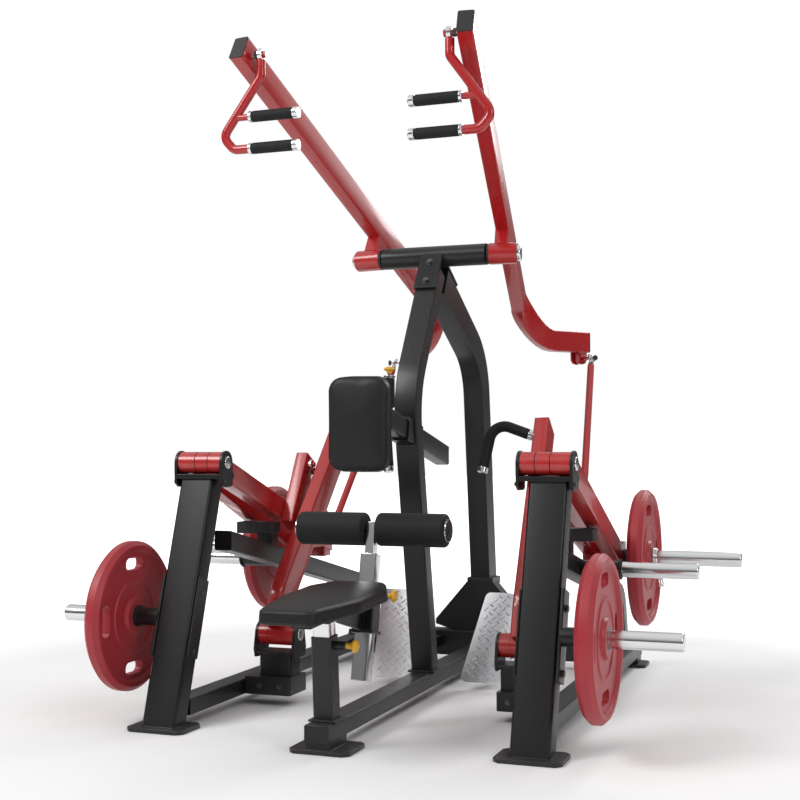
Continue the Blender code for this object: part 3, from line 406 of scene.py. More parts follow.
# round bar on a curve's own bevel; taper(share of the way) scales its radius
def tube(path, radius, count=20, taper=None):
    run = bpy.data.curves.new("run", "CURVE")
    run.dimensions, run.use_fill_caps, run.twist_mode = "3D", True, "MINIMUM"
    run.bevel_depth, run.bevel_resolution = radius, (count - 4) // 2
    spline = run.splines.new("POLY")
    spline.points.add(len(path) - 1)
    for k, (point, spot) in enumerate(zip(spline.points, path)):
        point.co = (*spot, 1)
        point.radius = taper(k / (len(path) - 1)) if taper else 1
    bm = takeShape(bpy.data.objects.new("run", run))
    bmesh.ops.recalc_face_normals(bm, faces=bm.faces)
    return bm


# several meshes in one, each keeping the material index it is given with
def join(*parts):
    result = bmesh.new()
    for part, index in parts:
        if index is not None:
            for face in part.faces:
                face.material_index = index
        mesh = bpy.data.meshes.new("part")
        part.to_mesh(mesh)
        part.free()
        result.from_mesh(mesh)
        bpy.data.meshes.remove(mesh)
    return result


# washer and a hexagon with chamfered edges
def hexHead(spot, axis, radius=0.0095, height=0.0062, washer=0.0125):
    axis = Vector(axis).normalized()
    ringBm = turned([(0, 0), (0, washer), (0.0014, washer), (0.0018, washer * 0.94), (0.0018, 0)],
                    spot, axis, 32)
    bm = bmesh.new()
    turn = axis.to_track_quat("Z", "Y").to_matrix().to_4x4()
    middle = Vector(spot) + axis * (0.0018 + height / 2)
    bmesh.ops.create_cone(bm, cap_ends=True, segments=6, radius1=radius, radius2=radius,
                          depth=height, matrix=Matrix.Translation(middle) @ turn)
    edges = [e for e in bm.edges if e.calc_length() > radius * 0.5]
    bmesh.ops.bevel(bm, geom=edges, offset=0.0009, segments=2, affect="EDGES")
    return join((ringBm, 0), (bm, 0))


def slabs(low, high):
    bm = bmesh.new()
    low, high = Vector(low), Vector(high)
    bmesh.ops.create_cube(bm, size=1, matrix=Matrix.Translation((low + high) / 2)
                          @ Matrix.Diagonal((*(high - low), 1)))
    return bm


def makeFrame():
    for node in ("base_beam", "rear_cross_tube", "column", "rear_post", "seat_post",
                 "seat_bracket", "chest_tube", "left_base_tube", "right_base_tube", "left_post",
                 "right_post", "left_row_stand", "right_row_stand"):
        skin(node, ["black"])
    skin("top_bar", ["black"])
    for side in ("left", "right"):
        skin(side + "_brace", ["black"], keep=0.640)
        skin(side + "_storage_horn", ["black"], keep=0.660)
        skin(side + "_stop_bumper", ["rubber"], bevel=0.003)
        skin(side + "_weight_arm", ["red"])
        skin(side + "_lat_arm", ["red"])
        skin(side + "_row_lever", ["red"])
    skin("seat_tube", ["chrome"])
    skin("thigh_post", ["chrome"])
    print("frame members done")


horns = {
    "storage_horn": dict(root=0.6190, sleeve=0.6920, tip=0.941, y=0.236, z=0.313, body="frame"),
    "brace_horn": dict(root=0.5354, sleeve=0.6610, tip=0.900, y=0.870, z=0.4376, body="frame"),
    "load_horn": dict(root=0.6160, sleeve=0.6580, tip=1.000, y=1.165, z=0.452, body="weight_arm"),
}


# black root sleeve with its flange, and the chrome horn with a rounded tip
def hornShape(s):
    def build():
        spot = at(0, s["y"], s["z"])
        root = turned([(s["root"], 0), (s["root"], 0.0264), (s["sleeve"] - 0.007, 0.0264),
                       (s["sleeve"] - 0.007, 0.0322), (s["sleeve"], 0.0322),
                       (s["sleeve"], 0.0200)], spot, round=0.0015)
        horn = turned([(s["sleeve"] - 0.001, 0), (s["sleeve"] - 0.001, 0.0247),
                       (s["tip"] - 0.0005, 0.0247), (s["tip"] - 0.0005, 0.0150),
                       (s["tip"], 0.0140), (s["tip"], 0)], spot, round=0.006)
        return join((root, 0), (horn, 1))
    return build


def makeHorns():
    for name, s in horns.items():
        made = both(name + "_chrome", hornShape(s), ["black", "chrome"], s["body"], angle=35)
        if name == "load_horn":
            replaceBoth(made, "load_horn")
    print("horns done")


plates = {
    "load_plate": dict(x=0.659, y=1.165, z=0.452, body="load"),
    "storage_plate": dict(x=0.693, y=0.236, z=0.313, body="store"),
    "size": dict(radius=0.225, thick=0.050, bore=0.0262, rim=0.197, web=0.011, hub=0.052),
}


# upright slot cutter with round ends, centred on its own origin and running along X
def capsule(across, half, radius, depth):
    loop = []
    for sign, start in ((1, -90), (-1, 90)):
        for step in range(13):
            angle = math.radians(start + 15 * step)
            loop.append((sign * half + radius * math.cos(angle), across + radius * math.sin(angle)))
    bm = bmesh.new()
    face = bm.faces.new([bm.verts.new((-depth, a, b)) for a, b in loop])
    grown = bmesh.ops.extrude_face_region(bm, geom=[face])
    moved = [g for g in grown["geom"] if isinstance(g, bmesh.types.BMVert)]
    bmesh.ops.translate(bm, verts=moved, vec=(2 * depth, 0, 0))
    bmesh.ops.recalc_face_normals(bm, faces=bm.faces)
    return bm


def linked(bm, name):
    mesh = bpy.data.meshes.new(name)
    bm.to_mesh(mesh)
    bm.free()
    item = bpy.data.objects.new(name, mesh)
    bpy.context.scene.collection.objects.link(item)
    return item


# one urethane disc centred on its inner face: thick rim, raised ring, hub, four slots
def discMesh():
    s = plates["size"]
    t, w = s["thick"], s["web"]
    half = [(0, s["bore"]), (0, s["hub"]), (w, s["hub"] + 0.006), (w, 0.100), (w - 0.004, 0.104),
            (w - 0.004, 0.111), (w, 0.115), (w, s["rim"] - 0.006), (0.001, s["rim"] + 0.002),
            (0, s["radius"] - 0.014), (0.014, s["radius"])]
    profile = half + [(t - a, r) for a, r in reversed(half)]
    base = linked(turned(profile, Vector((0, 0, 0)), count=120, round=0.0035), "disc")
    cutters = []
    for k in range(4):
        slot = capsule(0.156, 0.031, 0.0185, 0.08)
        bmesh.ops.rotate(slot, verts=slot.verts, matrix=Matrix.Rotation(math.tau * k / 4, 3, "X"))
        cutters.append(linked(slot, "cutter"))
        step = base.modifiers.new("slot", "BOOLEAN")
        step.operation, step.solver, step.object = "DIFFERENCE", "EXACT", cutters[-1]
    evaluated = base.evaluated_get(bpy.context.evaluated_depsgraph_get())
    mesh = bpy.data.meshes.new_from_object(evaluated)
    for item in [base, *cutters]:
        bpy.data.objects.remove(item, do_unlink=True)
    return mesh


def makePlates():
    shape = discMesh()
    s = plates["size"]
    for name in ("load_plate", "storage_plate"):
        p = plates[name]

        def build():
            bm = bmesh.new()
            bm.from_mesh(shape)
            bmesh.ops.translate(bm, verts=bm.verts, vec=at(p["x"], p["y"], p["z"]))
            insert = turned([(0.0010, s["bore"] - 0.0002), (0.0010, 0.0330), (-0.0008, 0.0322),
                             (-0.0008, s["bore"] - 0.0002)], at(p["x"], p["y"], p["z"]))
            outer = turned([(s["thick"] - 0.0010, s["bore"] - 0.0002), (s["thick"] - 0.0010, 0.0330),
                            (s["thick"] + 0.0008, 0.0322),
                            (s["thick"] + 0.0008, s["bore"] - 0.0002)], at(p["x"], p["y"], p["z"]))
            return join((bm, 0), (insert, 1), (outer, 1))
        made = both(name + "_disc", build, ["plate", "steel"], p["body"], angle=42, bevel=0.0016)
        replaceBoth(made, name)
    print("plates done")


pivots = dict(cant=8.35, bar=(0, 1.009, 1.475), sleeve=(0.186, 1.009, 1.475), cap=0.0280,
              weight=(0, 0.370, 0.775), weightHub=0.0332, weightCap=0.0195,
              row=(0, 0.620, 0.222), rowHub=0.0366, rowCap=0.0200)
cant = math.radians(pivots["cant"])
sleeveAxis = Vector((math.cos(cant), math.sin(cant), 0))
sleeveStart = at(*pivots["sleeve"])


# hub sleeve with narrow grooves round it, the groove faces painted dark as painted shade
def grooved(x0, x1, radius, bore, grooves, spot):
    profile = [(x0, bore), (x0, radius)]
    for g in grooves:
        profile += [(g - 0.0013, radius), (g - 0.0013, radius - 0.0016), (g + 0.0013, radius - 0.0016),
                    (g + 0.0013, radius)]
    profile += [(x1, radius), (x1, bore)]
    # faces inside a groove take slot 1, the painted groove shade
    return turned(profile, spot, tint=lambda a, r: 1 if r < radius - 0.0007 and r > bore + 0.002
                  and any(abs(a - g) < 0.002 for g in grooves) else 0)


def domeCap(spot, axis, radius, height=0.0045):
    line = [(0, 0), (0, radius), (height * 0.35, radius)]
    for k in range(1, 7):
        angle = math.pi / 2 * k / 6
        line.append((height * (0.35 + 0.65 * math.sin(angle)),
                     radius * (0.72 + 0.28 * math.cos(angle)) if k < 6 else 0))
    return turned(line, spot, axis, 48)


def makePivots():
    bar = turned([(-0.1858, 0.020), (-0.1858, 0.0350), (-0.1848, 0.0363), (0.1848, 0.0363),
                  (0.1858, 0.0350), (0.1858, 0.020)], at(*pivots["bar"]))
    settle("top_bar_tube", bar, ["black"], "frame")
    both("lat_sleeve", lambda: turned([(0.0080, 0.0170), (0.0080, 0.0350), (0.0092, 0.0364),
                                       (0.1018, 0.0364), (0.1030, 0.0350), (0.1030, 0.0170)],
                                      sleeveStart, sleeveAxis), ["red"], "lat_arm")
    both("lat_sleeve_cap", lambda: domeCap(sleeveStart + sleeveAxis * 0.1036, sleeveAxis,
                                           pivots["cap"], 0.013), ["chrome"], "frame")
    both("bar_shoulder", lambda: turned([(0.0006, 0.012), (0.0006, 0.0340), (0.0076, 0.0340),
                                         (0.0076, 0.012)], sleeveStart, sleeveAxis),
         ["rubber"], "frame")
    both("weight_hub", lambda: grooved(0.4724, 0.6161, pivots["weightHub"], 0.0140,
                                       (0.5155, 0.5590), at(*pivots["weight"])),
         ["red", "paintedGrooveShade"], "weight_arm")
    both("row_hub", lambda: grooved(0.3401, 0.4619, pivots["rowHub"], 0.0140,
                                    (0.3750, 0.4270), at(*pivots["row"])), ["red", "paintedGrooveShade"], "row_lever")

    def axleCaps():
        spot, radius = at(*pivots["weight"]), pivots["weightCap"]
        rod = turned([(0.4610, 0), (0.4610, 0.0124), (0.6275, 0.0124), (0.6275, 0)], spot)
        return join((rod, 0), (domeCap(spot + xAxis * 0.6270, xAxis, radius, 0.0050), 0),
                    (domeCap(spot + xAxis * 0.4615, -xAxis, radius, 0.0050), 0))
    replaceBoth(both("arm_axle_caps", axleCaps, ["chrome"], "frame"), "arm_axle")

    def rowCaps():
        spot, radius = at(*pivots["row"]), pivots["rowCap"]
        return join((domeCap(spot + xAxis * 0.4725, xAxis, radius, 0.0050), 0),
                    (domeCap(spot + xAxis * 0.3295, -xAxis, radius, 0.0050), 0))
    both("row_axle_caps", rowCaps, ["chrome"], "frame")
    print("pivots done")


bolts = dict(column=(0, 0.9620, 1.3860), columnLift=0.0404, columnAt=(-0.030, 0.050),
             columnHead=(0.0100, 0.0065), plate=(0.2496, 0.313), plateAt=(-0.100, 0.075),
             outerFace=0.6189, innerFace=0.4984, innerHead=(0.0085, 0.0060),
             ear=(0.3480, 0.7180), earFaces=((0.6264, 1), (0.4621, -1)),
             earHead=(0.0062, 0.0045, 0.0080), block=((0.375, 0.5596, 0.062), (0.445, 0.5596, 0.062)),
             blockHead=(0.0070, 0.0050, 0.0095))


# heads on the column plate, the storage plates, the pivot ears and the row stands
def makeBolts():
    out, up = Vector((0, -0.849, 0.528)), Vector((0, 0.528, 0.849))
    low = at(*bolts["column"]) + out * bolts["columnLift"]
    heads = [hexHead(low + up * t, out, *bolts["columnHead"]) for t in bolts["columnAt"]]
    settle("column_plate_bolts", join(*[(h, 0) for h in heads]), ["steel"], "frame")
    lean = Vector((0, 0.2316, 0.7260)).normalized()

    def postBolts():
        made = []
        for t in bolts["plateAt"]:
            spot = at(0, *bolts["plate"]) + lean * t
            made.append((hexHead(spot + xAxis * bolts["outerFace"], xAxis), 0))
            made.append((hexHead(spot + xAxis * bolts["innerFace"], -xAxis,
                                 *bolts["innerHead"]), 0))
        for x, direction in bolts["earFaces"]:
            spot = at(x, *bolts["ear"])
            made.append((hexHead(spot, xAxis * direction, *bolts["earHead"]), 0))
        return join(*made)
    both("post_bolts", postBolts, ["steel"], "frame")

    def backing():
        middle = at(0.4955, *bolts["plate"])
        bm = slabs((-0.0026, -0.030, -0.118), (0.0026, 0.030, 0.118))
        turn = Matrix.Rotation(-math.atan2(lean.y, lean.z), 4, "X")
        bmesh.ops.transform(bm, matrix=Matrix.Translation(middle) @ turn, verts=bm.verts)
        return bm
    both("post_backing_plate", backing, ["black"], "frame", bevel=0.0012)

    def blockBolts():
        return join(*[(hexHead(at(*spot), -yAxis, *bolts["blockHead"]), 0)
                      for spot in bolts["block"]])
    both("base_block_bolts", blockBolts, ["steel"], "frame")
    print("bolts done")


armFront = at(0.353, 0.229, 2.012)
armLine = (armFront - at(0.167, 1.491, 1.366)).normalized()


# moulded cap over the open end of a tube, with softened edges
def endCap(centre, line, side, width, depth, thick=0.0035):
    up = side.cross(line).normalized()
    loop = fillet([(-width / 2, -depth / 2, 0), (width / 2, -depth / 2, 0),
                   (width / 2, depth / 2, 0), (-width / 2, depth / 2, 0),
                   (-width / 2, -depth / 2, 0), (width / 2, -depth / 2, 0)], 0.006, 4)[1:-1]
    ring = []
    for p in loop:
        if not ring or (p - ring[-1]).length > 1e-5 and (p - ring[0]).length > 1e-5:
            ring.append(p)
    bm = bmesh.new()
    face = bm.faces.new([bm.verts.new(centre + side * p.x + up * p.y) for p in ring])
    grown = bmesh.ops.extrude_face_region(bm, geom=[face])
    moved = [g for g in grown["geom"] if isinstance(g, bmesh.types.BMVert)]
    bmesh.ops.translate(bm, verts=moved, vec=line * thick)
    bmesh.ops.recalc_face_normals(bm, faces=bm.faces)
    return bm


def makeEnds():
    side = (sleeveAxis - armLine * sleeveAxis.dot(armLine)).normalized()
    both("lat_arm_cap", lambda: endCap(armFront + armLine * 0.0002, armLine, side, 0.0486, 0.0786),
         ["rubber"], "lat_arm", bevel=0.0014)
    tail = Vector((0.601, 0.799, 0)).normalized()
    both("lat_tail_cap", lambda: endCap(at(0.362, 1.765, 1.2235) + tail * 0.0002, tail,
                                        Vector((tail.y, -tail.x, 0)), 0.0484, 0.0784, 0.003),
         ["rubber"], "lat_arm", bevel=0.0012)
    rise = Vector((-0.055, 0.6135, 0.789)).normalized()
    wide = (xAxis - rise * rise.x).normalized()
    both("row_lever_cap", lambda: endCap(at(0.3670, 1.0690, 0.8870) + rise * 0.0002, rise, wide,
                                         0.0505, 0.1005, 0.003), ["red"], "row_lever", bevel=0.0012)
    rear = Vector((0, 1.0770 + shiftY + 0.0002, 0.793))
    settle("chest_tube_cap", endCap(rear, yAxis, xAxis, 0.0500, 0.0652, 0.003), ["rubber"],
                   "chest", bevel=0.0012)
    both("base_tube_cap", lambda: endCap(at(0.535, 1.7602, 0.055), yAxis, xAxis, 0.070, 0.050, 0.003),
         ["rubber"], "frame", bevel=0.0012)
    print("caps done")


# foam sleeve with rolled ends
def gripShape(x0, x1, spot, radius):
    return turned([(x0, radius * 0.62), (x0, radius * 0.86), (x0 + 0.002, radius * 0.97),
                   (x0 + 0.005, radius), (x1 - 0.005, radius), (x1 - 0.002, radius * 0.97),
                   (x1, radius * 0.86), (x1, radius * 0.62)], spot, count=48)


handle = dict(y=0.262, upper=1.8110, lower=1.7150, radius=0.0168, bar=0.0136, bend=0.030,
              ring=0.0172, pivot=(0.2960, 1.9950),
              run=((0.2960, 1.9790), (0.2960, 1.9300), (0.4220, 1.7560), (0.3850, 1.7150),
                   (0.3300, 1.7150)))


def makeLatHandles():
    y = handle["y"]
    pivot = at(handle["pivot"][0], y, handle["pivot"][1])

    def build():
        path = fillet([at(x, y, z) for x, z in handle["run"]], handle["bend"], 10)
        parts, ringR = [(tube(path, handle["bar"], 28), 0)], handle["ring"]
        eye = turned([(-0.0080, 0.0075), (-0.0080, 0.0165), (-0.0060, 0.0185), (0.0060, 0.0185),
                      (0.0080, 0.0165), (0.0080, 0.0075)], pivot, count=40)
        parts.append((eye, 1))
        parts.append((turned([(0, 0), (0, 0.0100), (-0.010, 0.0100), (-0.010, 0)],
                             at(0.2960, y, 1.9830), zAxis, 6), 1))
        for x, z in ((0.3790, handle["upper"]), (0.3400, handle["lower"])):
            spot = at(0, y, z)
            parts.append((turned([(0.3330, 0), (0.3330, 0.0098), (x, 0.0098), (x, 0)], spot), 0))
            parts.append((turned([(0.3238, 0.0060), (0.3238, ringR), (0.3342, ringR),
                                  (0.3342, 0.0060)], spot, round=0.0018), 1))
            parts.append((turned([(0.1728, 0), (0.1728, 0.0150), (0.1750, ringR), (0.1902, ringR),
                                  (0.1902, 0)], spot, round=0.0016), 1))
            parts.append((turned([(0.1880, 0), (0.1880, 0.0102), (0.3260, 0.0102), (0.3260, 0)],
                                 spot), 1))
        return join(*parts)
    made = both("lat_handle_bar", build, ["red", "chrome"], "handle", angle=40)
    replaceBoth(made, "lat_handle")
    for name, z in (("upper_grip", handle["upper"]), ("lower_grip", handle["lower"])):
        made = both(name + "_foam", lambda: gripShape(0.1906, 0.3234, at(0, y, z),
                                                      handle["radius"]), ["foam"], "handle")
        replaceBoth(made, name)

    def stud():
        spot = pivot
        shaft = turned([(-0.0130, 0), (-0.0130, 0.0065), (0.0340, 0.0065), (0.0340, 0)], spot)
        nut = turned([(-0.0165, 0), (-0.0165, 0.0112), (-0.0092, 0.0112), (-0.0092, 0)], spot, xAxis, 6)
        collar = turned([(0.0098, 0), (0.0098, 0.0125), (0.0200, 0.0125), (0.0200, 0)], spot, xAxis, 6)
        return join((shaft, 0), (nut, 1), (collar, 1))
    both("handle_stud", stud, ["chrome", "steel"], "lat_arm", bevel=0.0006)
    print("lat handles done")


rowHandle = dict(start=(0.3362, 1.0354, 0.8580), corner=(0.1960, 1.0450, 0.9080),
                 tip=(0.1680, 1.0010, 0.7350), foam=0.0182, ring=0.0176, cap=0.0172, bend=0.050)


def makeRowHandles():
    start, corner, tip = [at(*rowHandle[key]) for key in ("start", "corner", "tip")]
    first, last = (corner - start).normalized(), (tip - corner).normalized()

    def build():
        path = fillet([start + first * 0.0140, corner, tip - last * 0.0160],
                      rowHandle["bend"], 14)
        dense = []
        for a, b in zip(path, path[1:]):
            steps = max(1, int((b - a).length / 0.006))
            dense += [a.lerp(b, k / steps) for k in range(steps)]
        dense.append(path[-1])
        foam = tube(dense, rowHandle["foam"], 32, lambda t: 0.90 if t < 0.004 or t > 0.996 else 1.0)
        collar = turned([(0, 0), (0, rowHandle["ring"]), (0.0145, rowHandle["ring"]),
                         (0.0145, 0)], start, first, round=0.0016)
        cap = turned([(0, 0), (0, rowHandle["cap"]), (0.0165, rowHandle["cap"]), (0.0190, 0.0140),
                      (0.0190, 0)],
                     tip - last * 0.0190, last, round=0.0016)
        return join((foam, 0), (collar, 1), (cap, 1))
    made = both("row_handle_foam", build, ["foam", "chrome"], "row_lever", angle=40)
    replaceBoth(made, "row_handle")
    print("row handles done")


links = dict(top=(0.399, 1.691, 1.159), foot=(0.463, 1.196, 0.520), rod=0.0126, eye=0.0180,
             rowTop=(0.4165, 0.905, 0.762), rowFoot=(0.4165, 1.100, 0.500), rowRod=0.0060,
             rowEye=0.0170)
linkTop, linkFoot = at(*links["top"]), at(*links["foot"])
tailSide = Vector((0.799, -0.601, 0)).normalized()


# forged eye with its bearing race, and the hexagon and shank that lead to the rod
def rodEnd(spot, axis, line, size, ball):
    eye = turned([(-0.0050, size * 0.60), (-0.0050, size * 0.86), (-0.0034, size), (0.0034, size),
                  (0.0050, size * 0.86), (0.0050, size * 0.60)], spot, axis, 40)
    race = turned([(-0.0042, ball), (-0.0042, size * 0.62), (0.0042, size * 0.62),
                   (0.0042, ball)], spot, axis, 40)
    shank = turned([(size * 0.86, 0), (size * 0.86, 0.0075), (0.0300, 0.0075), (0.0300, 0)],
                   spot, line, 24)
    nut = turned([(0.0290, 0), (0.0290, 0.0118), (0.0370, 0.0118), (0.0370, 0)], spot, line, 6)
    return [(eye, 1), (race, 1), (shank, 1), (nut, 2)]


def makeLinks():
    run = (linkFoot - linkTop).normalized()
    length = (linkFoot - linkTop).length
    across = (tailSide - run * tailSide.dot(run)).normalized()

    def build():
        rod = turned([(0.0365, 0), (0.0365, 0.0105), (0.0400, links["rod"]),
                      (length - 0.0400, links["rod"]),
                      (length - 0.0365, 0.0105), (length - 0.0365, 0)], linkTop, run, 40)
        return join((rod, 0), *rodEnd(linkTop, across, run, links["eye"], 0.0104),
                    *rodEnd(linkFoot, xAxis, -run, links["eye"], 0.0072))
    made = both("link_rod_tube", build, ["red", "chrome", "steel"], "link", angle=35)
    replaceBoth(made, "link_rod")

    def pin():
        ball = turned([(-0.0080, 0.0030), (-0.0050, 0.0080), (0, 0.0099), (0.0050, 0.0080),
                       (0.0080, 0.0030)], linkTop, tailSide, 32)
        nut = turned([(0.0182, 0), (0.0182, 0.0106), (0.0262, 0.0106), (0.0262, 0)], linkTop,
                     tailSide, 6)
        shaft = turned([(-0.0200, 0), (-0.0200, 0.0042), (0.0200, 0.0042), (0.0200, 0)], linkTop,
                       tailSide, 24)
        return join((ball, 0), (nut, 1), (shaft, 0))
    both("link_pin", pin, ["chrome", "steel"], "lat_arm", bevel=0.0005)

    top, foot = at(*links["rowTop"]), at(*links["rowFoot"])
    way = (foot - top).normalized()
    span = (foot - top).length

    def rowLink():
        rod = turned([(0.0300, 0), (0.0300, links["rowRod"]), (span - 0.0300, links["rowRod"]),
                      (span - 0.0300, 0)], top, way, 24)
        small = []
        for spot, line in ((top, way), (foot, -way)):
            small += rodEnd(spot, xAxis, line, links["rowEye"], 0.0046)
        return join((rod, 1), *small)
    made = both("row_link_rod", rowLink, ["red", "chrome", "steel"], "row_link", angle=35)
    replaceBoth(made, "row_link")
    print("links done")


clip = dict(turns=3, wire=0.0030, tail=0.0028, radius=0.0295, start=0.7130, width=0.0125,
            steps=96)


# spring clip: turns of wire with two curled tails
def makeCollars():
    def build():
        spot, radius = at(0, 1.165, 0.452), clip["radius"]
        points = []
        for k in range(clip["steps"] + 1):
            share = k / clip["steps"]
            angle = math.tau * clip["turns"] * share - math.pi / 2
            points.append(spot + Vector((clip["start"] + clip["width"] * share,
                                         radius * math.cos(angle), radius * math.sin(angle))))
        coil = tube(points, clip["wire"], 10)
        loops = []
        for sign, x in ((1, clip["start"]), (-1, clip["start"] + clip["width"])):
            start = spot + Vector((x, 0, -radius))
            path = fillet([start, start + Vector((0.004, 0.016 * sign, -0.018)),
                           start + Vector((0.016, 0.012 * sign, -0.066)),
                           start + Vector((0.020, -0.004 * sign, -0.062)),
                           start + Vector((0.012, 0.006 * sign, -0.022))], 0.010, 5)
            loops.append((tube(path, clip["tail"], 10), 0))
        return join((coil, 0), *loops)
    made = both("spring_clip", build, ["chrome"], "collar", angle=60)
    replaceBoth(made, "spring_collar")
    print("collars done")


knobs = {
    "seat_pull_pin": dict(body="seat_pin", root=(0, 0.073, 0.0804), lean=-4.45, along=0.207,
                          stop=0.0590),
    "thigh_pull_pin": dict(body="thigh_pin", root=(0, 0.418, 0.5775), lean=12.4, along=-0.196,
                           stop=0.0530),
}


chestGrip = dict(root=(0, 0.560, 0.910), radius=0.0168, bore=0.0114, ring=0.0182)


def makeKnobs():
    for name, k in knobs.items():
        lean, stop, body = math.radians(k["lean"]), k["stop"], k["body"]
        spot = at(*k["root"]) + Vector((0, math.sin(lean), math.cos(lean))) * k["along"]
        shaft = turned([(0.0290, 0), (0.0290, 0.0050), (stop + 0.002, 0.0050), (stop + 0.002, 0)],
                       spot)
        ring = turned([(stop, 0), (stop, 0.0098), (stop + 0.0045, 0.0098), (stop + 0.0045, 0)], spot,
                      round=0.0010)
        knob = turned([(stop + 0.004, 0), (stop + 0.004, 0.0088), (stop + 0.014, 0.0078),
                       (stop + 0.021, 0.0095), (stop + 0.026, 0.0170), (stop + 0.031, 0.0184),
                       (stop + 0.036, 0.0150), (stop + 0.0395, 0.0080), (stop + 0.040, 0)], spot,
                      round=0.0030)
        piece = settle(name + "_knob", join((shaft, 1), (ring, 2), (knob, 0)),
                       ["yellow", "chrome", "steel"], body, angle=35)
        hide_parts(name)
    spot = at(*chestGrip["root"])
    button = turned([(0.1400, 0), (0.1400, 0.0090), (0.1462, 0.0078), (0.1495, 0.0150),
                     (0.1535, 0.0180), (0.1580, 0.0150), (0.1608, 0.0080), (0.1620, 0)], spot,
                    zAxis, round=0.0025)
    shaft = turned([(0.1225, 0), (0.1225, 0.0050), (0.1410, 0.0050), (0.1410, 0)], spot, zAxis)
    piece = settle("chest_button_cap", join((button, 0), (shaft, 1)), ["yellow", "chrome"],
                   "chest_release", angle=35)
    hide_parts("chest_button")
    bore, radius, ringR = chestGrip["bore"], chestGrip["radius"], chestGrip["ring"]
    grip = turned([(0.0340, bore), (0.0340, 0.0145), (0.0365, 0.0162), (0.0400, radius),
                   (0.1190, radius), (0.1220, 0.0162), (0.1245, 0.0145), (0.1245, bore)], spot,
                  zAxis)
    piece = settle("chest_grip_foam", grip, ["foam"], "chest")
    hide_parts("chest_grip")
    ring = turned([(0.1252, 0.0070), (0.1252, ringR), (0.1342, ringR), (0.1342, 0.0070)], spot,
                  zAxis, round=0.0016)
    settle("chest_grip_ring", ring, ["chrome"], "chest")
    print("knobs done")


tread = dict(low=at(0, 1.040, 0.024), high=at(0, 1.150, 0.316), pitch=0.0300, length=0.0125,
             width=0.0038, height=0.0017, thick=0.0050,
             corners=((0.073, 0), (0.245, 0), (0.245, 1), (0.140, 1)),
             armFrom=(0.145, 1.0685, 0.065), armTo=(0.185, 1.5296, 0.105))


def insideLoop(x, y, loop):
    hit = False
    for (ax, ay), (bx, by) in zip(loop, loop[1:] + loop[:1]):
        if (ay > y) != (by > y) and x < (bx - ax) * (y - ay) / (by - ay) + ax:
            hit = not hit
    return hit


def makeFootrests():
    low, high = tread["low"], tread["high"]
    rise = (high - low).normalized()
    length = (high - low).length
    normal = xAxis.cross(rise)
    corners = [Vector((x, share * length, 0)) for x, share in tread["corners"]]
    loop = []
    for k in range(4):
        path = fillet([corners[k - 1], corners[k], corners[(k + 1) % 4]], 0.020, 8)
        loop += [(p.x, p.y) for p in path[1:-1]]
    place = Matrix(((1, rise.x, normal.x, low.x), (0, rise.y, normal.y, low.y),
                    (0, rise.z, normal.z, low.z), (0, 0, 0, 1)))

    def lozenge(cx, cy, turn):
        bm = bmesh.new()
        rings = []
        for scale, rise in ((1.0, -0.2), (0.72, 0.7), (0.30, 1.0)):
            rings.append([bm.verts.new((cx + (tread["length"] * scale * math.cos(a)) * math.cos(turn)
                                        - (tread["width"] * scale * math.sin(a)) * math.sin(turn),
                                        cy + (tread["length"] * scale * math.cos(a)) * math.sin(turn)
                                        + (tread["width"] * scale * math.sin(a)) * math.cos(turn),
                                        tread["thick"] + rise * tread["height"]))
                          for a in (math.tau * i / 12 for i in range(12))])
        for a, b in zip(rings, rings[1:]):
            for i in range(12):
                bm.faces.new((a[i], a[(i + 1) % 12], b[(i + 1) % 12], b[i]))
        bm.faces.new(rings[-1])
        bm.faces.new(list(reversed(rings[0])))
        bmesh.ops.recalc_face_normals(bm, faces=bm.faces)
        return bm

    def build():
        bm = bmesh.new()
        face = bm.faces.new([bm.verts.new((a, b, 0)) for a, b in loop])
        grown = bmesh.ops.extrude_face_region(bm, geom=[face])
        moved = [g for g in grown["geom"] if isinstance(g, bmesh.types.BMVert)]
        bmesh.ops.translate(bm, verts=moved, vec=(0, 0, tread["thick"]))
        bmesh.ops.recalc_face_normals(bm, faces=bm.faces)
        parts = [(bm, 0)]
        step = tread["pitch"] / 2
        for i in range(-2, 26):
            for j in range(-2, 34):
                x, y = 0.07 + i * step, j * step
                if (i + j) % 2 or not all(insideLoop(x + dx, y + dy, loop)
                                          for dx in (-0.011, 0.011) for dy in (-0.011, 0.011)):
                    continue
                parts.append((lozenge(x, y, math.pi / 4 if i % 2 else -math.pi / 4), 0))
        whole = join(*parts)
        bmesh.ops.transform(whole, matrix=place, verts=whole.verts)
        return whole
    made = both("footrest_tread", build, ["tread"], "frame", angle=50, weighted=False)
    replaceBoth(made, "footrest")

    both("footrest_arm", lambda: slabs(at(*tread["armFrom"]), at(*tread["armTo"])), ["black"],
         "frame", bevel=0.003)
    print("footrests done")


def applyModifiers(item):
    evaluated = item.evaluated_get(bpy.context.evaluated_depsgraph_get())
    mesh = bpy.data.meshes.new_from_object(evaluated)
    old = item.data
    item.modifiers.clear()
    item.data = mesh
    bpy.data.meshes.remove(old)


def coordinates(mesh):
    co = np.empty(len(mesh.vertices) * 3)
    mesh.vertices.foreach_get("co", co)
    return co.reshape(-1, 3)


cushion = {"voxel": 0.006, "pressure": 4.0, "stiff": 25, "bend": 2.0, "frames": 20}


